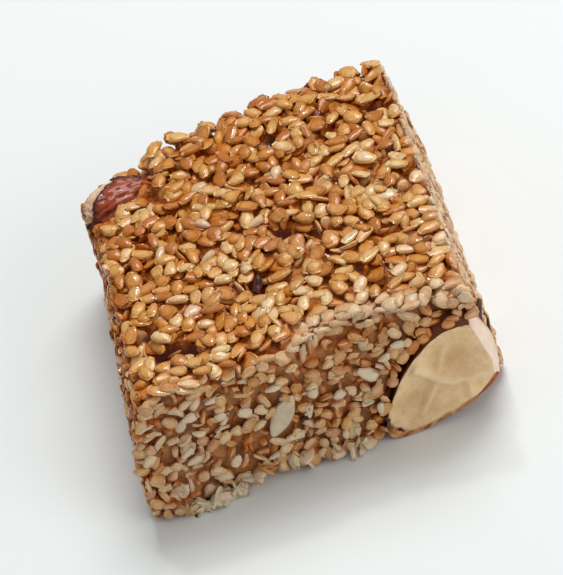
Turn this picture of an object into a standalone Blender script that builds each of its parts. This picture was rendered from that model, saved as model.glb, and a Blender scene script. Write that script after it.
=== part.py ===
"""A hand-cut slab of sesame brittle with a split almond showing at one corner.

Three sides are cut with a knife and flare a little towards the base. The back
edge is broken, and one back corner has lost its top layer, which bares a piece
of nut in its skin. The slab lies flat on z = 0, its front cut along X, with the
origin under the middle of its bounding box. All named sizes are millimetres.
"""

import bmesh
import bpy
import numpy as np

metres = 0.001

# The slab
slab_width = 50.5
slab_depth = 52.0
slab_height = 21.6
edge_round = 1.7
left_flare = 3.0
left_belly = 1.3             # how much the left cut swells at mid height
left_bias = 0.38             # how much more it does both towards the front
left_skew = 0.5              # how much further out the left edge is at the back
left_knob = 1.6              # how far the broken corner sticks out
right_flare = 2.2
right_skew = -1.0
front_lean = 1.3             # how far back the front cut's top edge is
front_flare = 2.1
back_flare = 0.5
crown = 2.1                  # how much the top stands above the rim
crown_at = (7.0, 8.0)
crown_reach = (36.0, 38.0)
back_bow = 4.6               # how far the broken edge bows out
back_bow_at = 16.0
back_bow_reach = 44.0
tooth_depth = 0.75           # of the broken edge
grain_relief = 0.22          # lumps left by the seeds
frame_shift = (1.2, -1.7)     # brings the bounding box's middle over the origin

# The back corner without its top layer
corner_span = (-13.8, 14.0)
corner_drop = 2.6
corner_blend = 2.0
knob_run = 9.0

# The front corner, whose underside rises along the almond
lift_start = (12.0, -19.5)
lift_height = 7.0
lift_run = (13.0, 4.5)

# The crumbled foot of the front cut, worn up from the base
foot_start = -22.0
foot_run = 5.0
foot_lift = 0.7
foot_spread = 1.9            # how far it sticks out where it is not worn
foot_low = (-22.0, 5.5)      # where along X it is not worn, and how wide
foot_notch = (-9.0, 4.0)     # where it is worn most, and how wide

# Crevices: place x, y, half length, half width, turn in degrees, depth
crevices = (
    (-19.0, -16.0, 4.6, 1.3, -22.0, 2.7),
    (-22.0, -11.5, 1.8, 1.2, 60.0, 1.5),
    (4.5, -1.5, 4.4, 1.3, -24.0, 2.3),
    (-3.4, -9.0, 1.2, 2.2, 10.0, 1.8),
    (4.0, 20.5, 1.5, 1.5, 0.0, 1.9),
    (-6.0, 16.5, 2.2, 1.0, 25.0, 1.1),
    (20.5, 20.0, 1.8, 1.0, -30.0, 1.3),
)

# The split almond
almond_length = 23.4
almond_width = 12.4
almond_half_thickness = 4.9
almond_taper = 0.36
almond_centre = (17.4, 7.65)  # x, z on the cut face
almond_turn = 35.0
almond_proud = 0.15
almond_end = (25.9, 7.0)      # x, z where its cut end meets the front
almond_end_turn = 29.0        # how far the cut end is turned to the front
almond_end_lean = 12.0        # and how far it leans back

# The nut in its skin, and the sliver in the front cut
nut_centre = (-21.0, 20.9, 17.9)
nut_size = (11.6, 8.0, 5.2)
nut_turn = 24.0
nut_tip = 7.0
sliver_centre = (-6.3, 0.2, 11.2)  # x, depth behind the cut face, z
sliver_size = (8.4, 3.2, 2.4)
sliver_turn = 58.0

clearance = 0.3


def clear_scene():
    for item in list(bpy.data.objects):
        bpy.data.objects.remove(item, do_unlink=True)


def make_material(name, colour, roughness):
    material = bpy.data.materials.new(name)
    material.use_nodes = True
    shader = material.node_tree.nodes["Principled BSDF"]
    shader.inputs["Base Color"].default_value = (*colour, 1.0)
    shader.inputs["Roughness"].default_value = roughness
    shader.inputs["Metallic"].default_value = 0.0
    return material


def smooth_step(t):
    t = np.clip(t, 0.0, 1.0)
    return t * t * (3.0 - 2.0 * t)


def hump(t, middle, reach):
    return np.exp(-(((t - middle) / reach) ** 2))


def lumps(a, b, phase):
    """Three crossed waves, 5 to 8 mm long, that stay between -1 and 1."""
    wave = np.sin(0.83 * a + 0.31 * b + phase)
    wave += np.sin(-0.42 * a + 0.97 * b + 2.1 * phase)
    wave += np.sin(1.09 * a - 0.74 * b + 3.7 * phase)
    return wave / 3.0


def lattice_box(counts):
    """A closed box from -1 to 1 along each axis, cut into strips that narrow towards its edges."""
    bm = bmesh.new()
    bmesh.ops.create_cube(bm, size=2.0)
    for axis, count in enumerate(counts):
        along = [e for e in bm.edges if abs(e.verts[0].co[axis] - e.verts[1].co[axis]) > 1.0]
        bmesh.ops.subdivide_edges(bm, edges=along, cuts=count - 1, use_grid_fill=True)
    points = np.array([v.co for v in bm.verts])
    points += 0.09 * np.sin(np.pi * points)
    for vert, point in zip(bm.verts, points):
        vert.co = point
    return bm


def round_edges(points, half_size, radius):
    """Pull the points of a box onto the box with rounded edges."""
    core = np.clip(points, radius - half_size, half_size - radius)
    out = points - core
    reach = np.linalg.norm(out, axis=1, keepdims=True)
    return core + out * radius / np.maximum(reach, radius)


def crown_height(x, y):
    """Height of the top over its rim: a shallow dome, less the broken corner and the crevices."""
    height = crown * (1.0 - ((x - crown_at[0]) / crown_reach[0]) ** 2)
    height *= 1.0 - ((y - crown_at[1]) / crown_reach[1]) ** 2
    side = smooth_step((corner_span[0] - x) / corner_blend)
    height -= corner_drop * side * smooth_step((y - corner_span[1]) / corner_blend)
    for cx, cy, long, wide, turn, depth in crevices:
        angle = np.radians(turn)
        u = (x - cx) * np.cos(angle) + (y - cy) * np.sin(angle)
        v = (y - cy) * np.cos(angle) - (x - cx) * np.sin(angle)
        height -= depth * np.exp(-((u / long) ** 2) - (v / wide) ** 2)
    return height + grain_relief * lumps(x, y, 0.4)


def base_lift(x, y):
    """Height of the underside, flat but for the foot of the front cut and the corner under the almond."""
    along = smooth_step((x - lift_start[0]) / lift_run[0])
    corner = lift_height * along * smooth_step((lift_start[1] - y) / lift_run[1])
    worn = 1.0 + 1.6 * hump(x, *foot_notch) - 0.8 * hump(x, *foot_low)
    return np.maximum(corner, foot_lift * worn * smooth_step((foot_start - y) / foot_run))


def front_shift(x, level):
    """How far the front cut moves along Y: back at the top, and out towards its foot."""
    shift = front_lean - front_flare * (1.0 - level)
    shift -= foot_spread * (1.0 - level) ** 2 * hump(x, *foot_low)
    return shift + grain_relief * lumps(x, 20.0 * level, 1.9)


def back_shift(x, level):
    """How far the broken back moves along Y: a bow, with teeth a seed's length wide."""
    bow = back_bow * (1.0 - ((x - back_bow_at) / back_bow_reach) ** 2)
    teeth = np.sin(1.37 * x + 0.5) + 0.6 * np.sin(2.1 * x + 3.1 * level)
    return bow + back_flare * (1.0 - level) + tooth_depth * teeth * (0.4 + 0.6 * level)


def side_shift(y, level, flare, belly, bias, skew, phase):
    """How far a side cut moves outwards along X, with its foot out, its middle swollen and its back askew."""
    along = y / slab_depth + 0.5
    shift = flare * (1.0 - level) + belly * 4.0 * level * (1.0 - level)
    shift = shift * (1.0 + bias * (1.0 - 2.0 * along)) + skew * along
    return shift + grain_relief * lumps(y, 20.0 * level, phase)


def shape_slab(points):
    """Turn a rounded box, centred on the origin, into the slab standing on z = 0."""
    x, y, z = points.T
    level = z / slab_height + 0.5
    across = x / slab_width + 0.5
    along = y / slab_depth + 0.5
    left = -side_shift(y, level, left_flare, left_belly, left_bias, left_skew, 2.6)
    left -= left_knob * level ** 2 * smooth_step((y - corner_span[1]) / knob_run)
    right = side_shift(y, level, right_flare, 0.0, 0.0, right_skew, 4.3)
    new_x = x + left * (1.0 - across) + right * across
    new_y = y + front_shift(x, level) * (1.0 - along) + back_shift(x, level) * along
    new_z = level * (slab_height + crown_height(new_x, new_y))
    new_z += (1.0 - level) * base_lift(new_x, new_y)
    return np.column_stack((new_x, new_y, new_z))


def cut_face_y(z):
    """Where the front cut's own plane stands at a height, without its hollows and lumps."""
    return -slab_depth / 2.0 + front_lean - front_flare * (1.0 - z / slab_height)


def almond_points(points):
    """A teardrop almond from a unit sphere whose poles are its ends.

    Along the length it runs from the tip, -1, to the round end, 1. The breadth
    follows the sphere, wider by the taper on the side of the round end.
    """
    end, side, depth = points[:, 2], points[:, 0], points[:, 1]
    along = almond_length / 2.0 * end
    across = almond_width / 2.0 * side * (1.0 + almond_taper * end)
    inward = almond_half_thickness * depth * (1.0 + 0.4 * almond_taper * end)
    angle = np.radians(almond_turn)
    x = almond_centre[0] + along * np.cos(angle) - across * np.sin(angle)
    z = almond_centre[1] + along * np.sin(angle) + across * np.cos(angle)
    return np.column_stack((x, cut_face_y(z) + inward, z))


def almond_end_normal():
    turn = np.radians(almond_end_turn)
    lean = np.radians(almond_end_lean)
    return (np.cos(turn) * np.cos(lean), -np.sin(turn) * np.cos(lean), np.sin(lean))


def nut_points(points):
    """An oval nut, pointed at one end, tilted so that its tip sinks into the slab."""
    end, side, up = points[:, 0], points[:, 1], points[:, 2]
    narrow = 1.0 - 0.22 * end
    along = nut_size[0] / 2.0 * end
    across = nut_size[1] / 2.0 * side * narrow
    rise = nut_size[2] / 2.0 * up * narrow - along * np.sin(np.radians(nut_tip))
    angle = np.radians(nut_turn)
    x = nut_centre[0] + along * np.cos(angle) - across * np.sin(angle)
    y = nut_centre[1] + along * np.sin(angle) + across * np.cos(angle)
    return np.column_stack((x, y, nut_centre[2] + rise))


def sliver_points(points):
    """A leaf-shaped sliver standing in the cut face: round across, drawn to a point at both ends."""
    end, side, depth = points[:, 2], points[:, 0], points[:, 1]
    along = sliver_size[0] / 2.0 * end
    across = sliver_size[1] / 2.0 * side * (1.0 - 0.35 * end ** 2)
    angle = np.radians(sliver_turn)
    x = sliver_centre[0] + along * np.cos(angle) - across * np.sin(angle)
    z = sliver_centre[2] + along * np.sin(angle) + across * np.cos(angle)
    y = cut_face_y(z) + sliver_centre[1] + sliver_size[2] / 2.0 * depth
    return np.column_stack((x, y, z))


def place(bm, points):
    """Write the points, in millimetres, over the mesh's own, in metres over the origin."""
    placed = (points + (frame_shift[0], frame_shift[1], 0.0)) * metres
    for vert, point in zip(bm.verts, placed):
        vert.co = point
    bm.normal_update()
    bmesh.ops.recalc_face_normals(bm, faces=bm.faces)


def finish(name, bm, material):
    mesh = bpy.data.meshes.new(name)
    bmesh.ops.triangulate(bm, faces=bm.faces)
    bm.to_mesh(mesh)
    bm.free()
    mesh.materials.append(material)
    mesh.shade_smooth()
    mesh.set_sharp_from_angle(angle=np.radians(40.0))
    item = bpy.data.objects.new(name, mesh)
    bpy.context.scene.collection.objects.link(item)
    return item


def grown(points, extra):
    """The points of a closed shape moved out from its middle, each axis grown by twice the extra."""
    middle = (points.max(axis=0) + points.min(axis=0)) / 2.0
    half = (points.max(axis=0) - points.min(axis=0)) / 2.0
    return middle + (points - middle) * (half + extra) / half


def make_inlay(name, shape, rings, material, extra=0.0):
    """A nut from a sphere, or, with an extra, the cutter that makes its pocket."""
    bm = bmesh.new()
    bmesh.ops.create_uvsphere(bm, u_segments=rings * 2, v_segments=rings, radius=1.0)
    points = shape(np.array([v.co for v in bm.verts]))
    place(bm, grown(points, extra) if extra else points)
    return finish(name, bm, material)


def slice_off(item, point, normal):
    """Cut away what lies beyond a plane, and close the cut with a flat face."""
    bm = bmesh.new()
    bm.from_mesh(item.data)
    whole = bm.verts[:] + bm.edges[:] + bm.faces[:]
    at = [(point[0] + frame_shift[0]) * metres, (point[1] + frame_shift[1]) * metres, point[2] * metres]
    cut = bmesh.ops.bisect_plane(bm, geom=whole, plane_co=at, plane_no=normal, clear_outer=True)
    rim = [part for part in cut["geom_cut"] if isinstance(part, bmesh.types.BMEdge)]
    bmesh.ops.contextual_create(bm, geom=rim)
    bmesh.ops.triangulate(bm, faces=bm.faces)
    bmesh.ops.recalc_face_normals(bm, faces=bm.faces)
    bm.to_mesh(item.data)
    bm.free()


def cut_pocket(body, cutter):
    cutter.hide_render = True
    cutter.display_type = "WIRE"
    pocket = body.modifiers.new("pocket of " + cutter.name, "BOOLEAN")
    pocket.operation = "DIFFERENCE"
    pocket.object = cutter


def make_slab(material):
    bm = lattice_box((25, 25, 9))
    half_size = np.array((slab_width, slab_depth, slab_height)) / 2.0
    box = np.array([v.co for v in bm.verts]) * half_size
    place(bm, shape_slab(round_edges(box, half_size, edge_round)))
    return finish("slab", bm, material)


def main():
    clear_scene()
    brittle = make_material("brittle", (0.42, 0.18, 0.06), 0.35)
    flesh = make_material("almond_flesh", (0.62, 0.40, 0.22), 0.6)
    skin = make_material("nut_skin", (0.22, 0.05, 0.02), 0.4)
    pale = make_material("pale_nut", (0.68, 0.55, 0.38), 0.6)

    slab = make_slab(brittle)
    almond = make_inlay("corner_almond", almond_points, 13, flesh)
    slice_off(almond, (0.0, cut_face_y(0.0) - almond_proud, 0.0), (0.0, -1.0, front_flare / slab_height))
    slice_off(almond, (almond_end[0], cut_face_y(almond_end[1]), almond_end[1]), almond_end_normal())
    make_inlay("skinned_nut", nut_points, 12, skin)
    make_inlay("front_sliver", sliver_points, 8, pale)

    cut_pocket(slab, make_inlay("almond_cutter", almond_points, 13, flesh, clearance))
    cut_pocket(slab, make_inlay("nut_cutter", nut_points, 12, skin, clearance))
    cut_pocket(slab, make_inlay("sliver_cutter", sliver_points, 8, pale, clearance))


main()
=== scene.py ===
import bpy
import numpy as np
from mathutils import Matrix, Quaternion, Vector


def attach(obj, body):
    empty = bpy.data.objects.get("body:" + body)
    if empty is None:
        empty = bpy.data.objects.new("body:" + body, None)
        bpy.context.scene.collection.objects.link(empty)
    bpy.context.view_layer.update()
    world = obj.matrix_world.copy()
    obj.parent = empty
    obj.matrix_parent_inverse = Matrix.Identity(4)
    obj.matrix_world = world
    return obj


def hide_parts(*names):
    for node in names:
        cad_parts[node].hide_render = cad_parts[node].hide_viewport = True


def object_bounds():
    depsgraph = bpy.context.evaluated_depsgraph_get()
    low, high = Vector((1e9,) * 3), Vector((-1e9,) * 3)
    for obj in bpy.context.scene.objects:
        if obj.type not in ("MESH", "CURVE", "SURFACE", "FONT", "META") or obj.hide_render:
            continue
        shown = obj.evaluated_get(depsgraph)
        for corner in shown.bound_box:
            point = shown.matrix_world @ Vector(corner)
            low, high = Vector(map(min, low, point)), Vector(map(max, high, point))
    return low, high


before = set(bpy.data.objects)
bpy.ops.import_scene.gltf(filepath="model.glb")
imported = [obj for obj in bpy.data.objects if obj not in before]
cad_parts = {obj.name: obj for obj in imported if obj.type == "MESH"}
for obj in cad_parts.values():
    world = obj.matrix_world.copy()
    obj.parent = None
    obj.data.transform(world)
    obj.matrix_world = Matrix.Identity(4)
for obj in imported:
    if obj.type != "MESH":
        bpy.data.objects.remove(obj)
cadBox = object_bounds()
millimetre = 0.001

# the slab's form, in millimetres: flares, leans and bows are measured from a plain box of its size
slab = {
    "width": 50.5,
    "depth": 52.0,
    "height": 21.6,
    "edgeRound": 1.7,
    "leftFlare": 3.0,
    "leftBelly": 1.3,
    "leftBias": 0.38,
    "leftSkew": 0.5,
    "leftKnob": 1.6,
    "rightFlare": 2.2,
    "rightSkew": -1.0,
    "frontLean": 1.3,
    "frontFlare": 2.1,
    "backFlare": 0.5,
    "crown": 2.1,
    "crownAt": (7.0, 8.0),
    "crownReach": (36.0, 38.0),
    "backBow": 4.6,
    "backBowAt": 16.0,
    "backBowReach": 44.0,
    "toothDepth": 0.75,
    "grainRelief": 0.22,
    "frameShift": (1.2, -1.7),
    "pastBox": 1.1,           # how far a seed may stand out past the solids' box
    "cornerSpan": (-13.8, 14.0),
    "cornerDrop": 2.6,
    "cornerBlend": 2.0,
    "knobRun": 9.0,
    "liftStart": (12.0, -19.5),
    "liftHeight": 7.0,
    "liftRun": (13.0, 4.5),
    "footStart": -22.0,
    "footRun": 5.0,
    "footLift": 0.7,
    "footSpread": 1.9,
    "footLow": (-22.0, 5.5),
    "footNotch": (-9.0, 4.0),
    "wornMore": 1.6,
    "wornLess": 0.8,
    # crevices: x, y, half length, half width, turn in degrees, depth
    "crevices": (
        (-19.0, -16.0, 4.6, 1.3, -22.0, 2.7),
        (-22.0, -11.5, 1.8, 1.2, 60.0, 1.5),
        (4.5, -1.5, 4.4, 1.3, -24.0, 2.3),
        (-3.4, -9.0, 1.2, 2.2, 10.0, 1.8),
        (4.0, 20.5, 1.5, 1.5, 0.0, 1.9),
        (-6.0, 16.5, 2.2, 1.0, 25.0, 1.1),
        (20.5, 20.0, 1.8, 1.0, -30.0, 1.3),
    ),
}


def smoothStep(t):
    # from 0 to 1 without a corner: three times the square less twice the cube
    t = np.clip(t, 0.0, 1.0)
    return t * t * (3.0 - 2.0 * t)


def hump(t, middle, reach):
    # a bell of height 1: e to the minus square of the distance in reaches
    return np.exp(-(((t - middle) / reach) ** 2))


def alongAcross(a, b, centre, turn):
    # how far a place is from a middle, along a direction and across it
    angle = np.radians(turn)
    da, db = a - centre[0], b - centre[1]
    return da * np.cos(angle) + db * np.sin(angle), db * np.cos(angle) - da * np.sin(angle)


def backFrom(along, across, centre, turn):
    # the place that is so far along a direction and across it from a middle
    angle = np.radians(turn)
    a = centre[0] + along * np.cos(angle) - across * np.sin(angle)
    return a, centre[1] + along * np.sin(angle) + across * np.cos(angle)


def lumps(a, b, phase):
    # three crossed waves, between -1 and 1
    wave = np.sin(0.83 * a + 0.31 * b + phase)
    wave = wave + np.sin(-0.42 * a + 0.97 * b + 2.1 * phase)
    wave = wave + np.sin(1.09 * a - 0.74 * b + 3.7 * phase)
    return wave / 3.0


def crownHeight(x, y, pitted=True):
    # a shallow dome over the rim, less the broken corner and the crevices
    height = slab["crown"] * (1.0 - ((x - slab["crownAt"][0]) / slab["crownReach"][0]) ** 2)
    height = height * (1.0 - ((y - slab["crownAt"][1]) / slab["crownReach"][1]) ** 2)
    side = smoothStep((slab["cornerSpan"][0] - x) / slab["cornerBlend"])
    behind = smoothStep((y - slab["cornerSpan"][1]) / slab["cornerBlend"])
    height = height - slab["cornerDrop"] * side * behind
    for cx, cy, long, wide, turn, depth in slab["crevices"] if pitted else ():
        u, v = alongAcross(x, y, (cx, cy), turn)
        height = height - depth * np.exp(-((u / long) ** 2) - (v / wide) ** 2)
    return height + slab["grainRelief"] * lumps(x, y, 0.4)


def baseLift(x, y):
    # the underside: flat but for the worn foot and the corner under the almond
    along = smoothStep((x - slab["liftStart"][0]) / slab["liftRun"][0])
    corner = slab["liftHeight"] * along * smoothStep((slab["liftStart"][1] - y) / slab["liftRun"][1])
    worn = 1.0 + slab["wornMore"] * hump(x, *slab["footNotch"]) - slab["wornLess"] * hump(x, *slab["footLow"])
    return np.maximum(corner, slab["footLift"] * worn * smoothStep((slab["footStart"] - y) / slab["footRun"]))


def frontShift(x, level):
    # how far back the front cut stands, at a level from 0 at the base to 1 at the rim
    shift = slab["frontLean"] - slab["frontFlare"] * (1.0 - level)
    shift = shift - slab["footSpread"] * (1.0 - level) ** 2 * hump(x, *slab["footLow"])
    return shift + slab["grainRelief"] * lumps(x, 20.0 * level, 1.9)


def backShift(x, level):
    # a bow with teeth a seed's length wide
    bow = slab["backBow"] * (1.0 - ((x - slab["backBowAt"]) / slab["backBowReach"]) ** 2)
    teeth = np.sin(1.37 * x + 0.5) + 0.6 * np.sin(2.1 * x + 3.1 * level)
    return bow + slab["backFlare"] * (1.0 - level) + slab["toothDepth"] * teeth * (0.4 + 0.6 * level)


def sideShift(y, level, flare, belly, bias, skew, phase):
    # how far a side stands out: it flares towards the base and swells at half its height
    along = y / slab["depth"] + 0.5
    shift = flare * (1.0 - level) + belly * 4.0 * level * (1.0 - level)
    shift = shift * (1.0 + bias * (1.0 - 2.0 * along)) + skew * along
    return shift + slab["grainRelief"] * lumps(y, 20.0 * level, phase)


def leftShift(y, level):
    form = (slab[key] for key in ("leftFlare", "leftBelly", "leftBias", "leftSkew"))
    out = sideShift(y, level, *form, 2.6)
    return -out - slab["leftKnob"] * level ** 2 * smoothStep((y - slab["cornerSpan"][1]) / slab["knobRun"])


def rightShift(y, level):
    return sideShift(y, level, slab["rightFlare"], 0.0, 0.0, slab["rightSkew"], 4.3)


def levelOf(x, y, z):
    lift = baseLift(x, y)
    return (z - lift) / (slab["height"] + crownHeight(x, y) - lift)


def toBox(x, y, z, level=None):
    # a place in the slab, in the plain box's coordinates: the shifts are taken off again, step by step
    if level is None:
        level = np.clip(levelOf(x, y, z), -0.2, 1.2)
    u, v = x, y
    for step in range(3):
        across = u / slab["width"] + 0.5
        along = v / slab["depth"] + 0.5
        sideways = leftShift(v, level) * (1.0 - across) + rightShift(v, level) * across
        lengthways = frontShift(u, level) * (1.0 - along) + backShift(u, level) * along
        u, v = x - sideways, y - lengthways
    return u, v, level


def fromBox(u, v, level, topOf):
    # a place in the plain box, moved to the slab: each way a blend of its two sides' shifts
    across = u / slab["width"] + 0.5
    along = v / slab["depth"] + 0.5
    x = u + leftShift(v, level) * (1.0 - across) + rightShift(v, level) * across
    y = v + frontShift(u, level) * (1.0 - along) + backShift(u, level) * along
    return x, y, level * topOf(x, y) + (1.0 - level) * baseLift(x, y)


def cutFaceY(z):
    # the leaning plane of the front cut, without its lumps
    return -slab["depth"] / 2.0 + slab["frontLean"] - slab["frontFlare"] * (1.0 - z / slab["height"])


def valueNoise(points, size, seed):
    # random values on a lattice of the given size, blended smoothly in between; from -1 to 1
    table = np.random.default_rng(seed).uniform(-1.0, 1.0, 4096)
    place = np.asarray(points, float) / size
    cell = np.floor(place).astype(np.int64)
    t = place - cell
    t = smoothStep(t)
    total = np.zeros(place.shape[:-1])
    for corner in range(8):
        step = np.array((corner & 1, corner >> 1 & 1, corner >> 2 & 1))
        weight = np.prod(np.where(step, t, 1.0 - t), axis=-1)
        key = (cell + step) @ np.array((73856093, 19349663, 83492791))
        total = total + weight * table[(key ^ (key >> 13)) & 4095]
    return total


def blurred(field, cells):
    # a soft average: three box averages along each axis, each the difference of two running sums
    wide = 2 * cells + 1
    for axis in (0, 1) * 3:
        first, last = np.take(field, [0], axis), np.take(field, [-1], axis)
        total = np.cumsum(np.concatenate([first] * cells + [field] + [last] * (cells + 1), axis), axis)
        count = field.shape[axis]
        high = np.take(total, np.arange(wide, wide + count), axis)
        field = (high - np.take(total, np.arange(count), axis)) / wide
    return field


# the nuts' forms
almond = {
    "length": 23.4,
    "width": 12.4,
    "halfThickness": 4.9,
    "backTaper": 0.4,         # how much of its taper its thickness has
    "endThicker": 0.25,       # how much thicker it is at its cut end
    "shoulder": 2.8,          # how far its back rises over its face there
    "thickFrom": 0.1,         # where both begin, in its half length
    "thickRun": 0.5,
    "taper": 0.36,
    "centre": (17.4, 7.65),   # along and up, on the front cut
    "turn": 35.0,
    "proud": 0.15,
    "end": (25.9, 7.0),       # where its cut end meets the front
    "endTurn": 29.0,
    "endLean": 12.0,
    # seeds keep clear of its cut end: by how much, below what height and in front of what depth
    "clearOfSeeds": (0.5, 17.0, -19.0),
    "clearOfFill": (0.8, 17.5, -19.0),
    "clearOfCaramel": (0.9, 17.5, -18.0),
    "rows": 150,
    "around": 120,
}
nut = {
    "centre": (-21.0, 22.6, 18.05),
    "roll": 0.27,             # its back rises over its front by this share of its width
    "size": (12.8, 8.4, 5.2),
    "turn": 13.0,
    "tip": 4.0,
    "narrowing": 0.18,
    "rows": 90,
    "around": 96,
}
sliver = {
    "centre": (-6.3, 0.2, 11.2),  # along, behind the front cut, and up
    "size": (8.0, 3.2, 2.4),
    "turn": 53.0,
    "pointed": 0.35,
    "swell": 0.35,            # how far its face stands out in the middle
    "rows": 48,
    "around": 40,
}


def almondLocal(x, y, z):
    # along, across and inward in the almond's own half sizes
    along, across = alongAcross(x, z, almond["centre"], almond["turn"])
    end = along / (almond["length"] / 2.0)
    ends = np.clip(end, -1.0, 1.0)
    side = across / (almond["width"] / 2.0) / (1.0 + almond["taper"] * ends)
    thick = almond["halfThickness"] * (1.0 + almond["backTaper"] * almond["taper"] * ends)
    return end, side, (y - cutFaceY(z)) / thick


def almondCutEnd(end):
    # 0 on most of the almond, 1 towards its cut end
    return smoothStep((end - almond["thickFrom"]) / almond["thickRun"])


def almondLift(end, side, depth):
    # the shoulder behind the face: a half wave over the depth, on the upper side, towards the cut end
    wave = np.sin(np.pi * np.clip(depth / 0.9, 0.0, 1.0)) * np.clip(side / 0.35, 0.0, 1.0)
    return almond["shoulder"] * wave * almondCutEnd(end)


def nearAlmond(x, y, z):
    # 1 on the almond's surface, less inside it; its shoulder and its thicker end are taken off first
    end, side, depth = almondLocal(x, y, z)
    depth = depth / (1.0 + almond["endThicker"] * almondCutEnd(end))
    lift = almondLift(end, side, depth)
    end, side, same = almondLocal(x, y, z - lift)
    return np.sqrt(end ** 2 + side ** 2 + depth ** 2)


def nearNut(x, y, z):
    # as nearAlmond: the root of the sum of squares in the nut's own half sizes
    end, side, up = nutLocal(x, y, z)
    return np.sqrt(end ** 2 + side ** 2 + up ** 2)


def nearSliver(x, y, z):
    end, side, depth = sliverLocal(x, y, z)
    return np.sqrt(end ** 2 + side ** 2 + depth ** 2)


def beyondAlmondEnd(points):
    # how far a point lies past the plane that cuts the almond's end
    turn, lean = np.radians(almond["endTurn"]), np.radians(almond["endLean"])
    normal = np.array((np.cos(turn) * np.cos(lean), -np.sin(turn) * np.cos(lean), np.sin(lean)))
    spot = np.array((almond["end"][0], cutFaceY(almond["end"][1]), almond["end"][1]))
    return (points - spot) @ normal, normal


def atAlmondEnd(points, gap, below, before):
    # whether points lie past the plane of the almond's cut end, or less than a gap from it
    past = beyondAlmondEnd(points)[0] > -gap
    return past & (points[..., 2] < below) & (points[..., 1] < before)


def nutLocal(x, y, z):
    along, across = alongAcross(x, y, nut["centre"][:2], nut["turn"])
    end = along / (nut["size"][0] / 2.0)
    narrow = 1.0 - nut["narrowing"] * np.clip(end, -1.0, 1.0)
    side = across / (nut["size"][1] / 2.0) / narrow
    rise = z - nut["centre"][2] + along * np.sin(np.radians(nut["tip"])) - nut["roll"] * across
    return end, side, rise / (nut["size"][2] / 2.0) / narrow


def sliverLocal(x, y, z):
    along, across = alongAcross(x, z, sliver["centre"][::2], sliver["turn"])
    end = along / (sliver["size"][0] / 2.0)
    side = across / (sliver["size"][1] / 2.0) / (1.0 - sliver["pointed"] * np.clip(end, -1.0, 1.0) ** 2)
    return end, side, (y - cutFaceY(z) - sliver["centre"][1]) / (sliver["size"][2] / 2.0)


# seeds dropped onto one another, as on a heap
heap = {
    "cell": 0.2,             # of the height field the seeds rest on
    "reach": 34.0,           # half the field's side
    "footprint": 12,         # cells from a seed's middle to its furthest point
    "layer": 2.6,            # thickness of the bottom layer
    "shell": 3.6,            # how far in from the cuts and the top the heap is made of seeds
    "overCut": 1.2,          # how far past a cut seeds are laid, to be cut through
    "press": 0.30,           # how far a seed sinks into what it rests on
    "fillPress": 0.55,       # and where it fills a last gap
    "candidates": 26,        # places and ways to lie that a seed chooses from on the top
    "sideCandidates": 12,    # and in the sides, where they lie every way
    "gapCandidates": 70,
    "chance": 0.25,          # how far the choice between two places is left to chance
    "patience": 50,          # seeds that find no place in a row, before the heap is full
    "refresh": 60,           # seeds laid before the free places are looked for again
    "slack": 0.30,           # how far a seed may stand out over the goal
    "upright": 0.64,         # how much a seed on edge is let off for the height it needs
    "sideUpright": 0.2,
    "upTilt": 38.0,          # how far the top's seeds tilt, in degrees
    "upAnyWay": 0.42,        # share of them that lie every way
    "unevenTop": (0.26, 2.8),  # bumps in the top: their height and size
    "orientations": 700,
    "pitDepth": 1.45,        # how much deeper the crevices are between the seeds
    "gap": 0.5,              # places this far under the goal are free
    "keep": 2.5,             # how deep seeds are kept
    "farOut": -9.0,          # the goal where no seed belongs
}
seed = {
    "length": 3.65,
    "width": 2.3,
    "thickness": 0.84,
    "sizeSpread": 0.13,
    "taper": 0.25,
    "blunt": 0.86,            # less than 1 makes the ends rounder
    "bend": 0.30,             # in its half thickness, as the next
    "cup": 0.45,              # how far a seed is curled like a bowl
    "dish": 0.50,             # how deep the faces sink in their middle, as a share
    "rings": 5,
    "around": 8,
}


def matrices(*rows):
    # one 3 by 3 matrix for each seed
    return np.stack([np.stack(row, -1) for row in rows], -2)


def turned(spin, tilt, heading):
    # a seed's axes after a spin in its own plane, a tilt and a heading: columns are length, width, thickness
    cs, ss = np.cos(spin), np.sin(spin)
    ct, st = np.cos(tilt), np.sin(tilt)
    ch, sh = np.cos(heading), np.sin(heading)
    zero, one = np.zeros_like(cs), np.ones_like(cs)
    first = matrices((cs, -ss, zero), (ss, cs, zero), (zero, zero, one))
    second = matrices((ct, zero, st), (zero, one, zero), (-st, zero, ct))
    third = matrices((ch, -sh, zero), (sh, ch, zero), (zero, zero, one))
    return third @ second @ first


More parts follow.
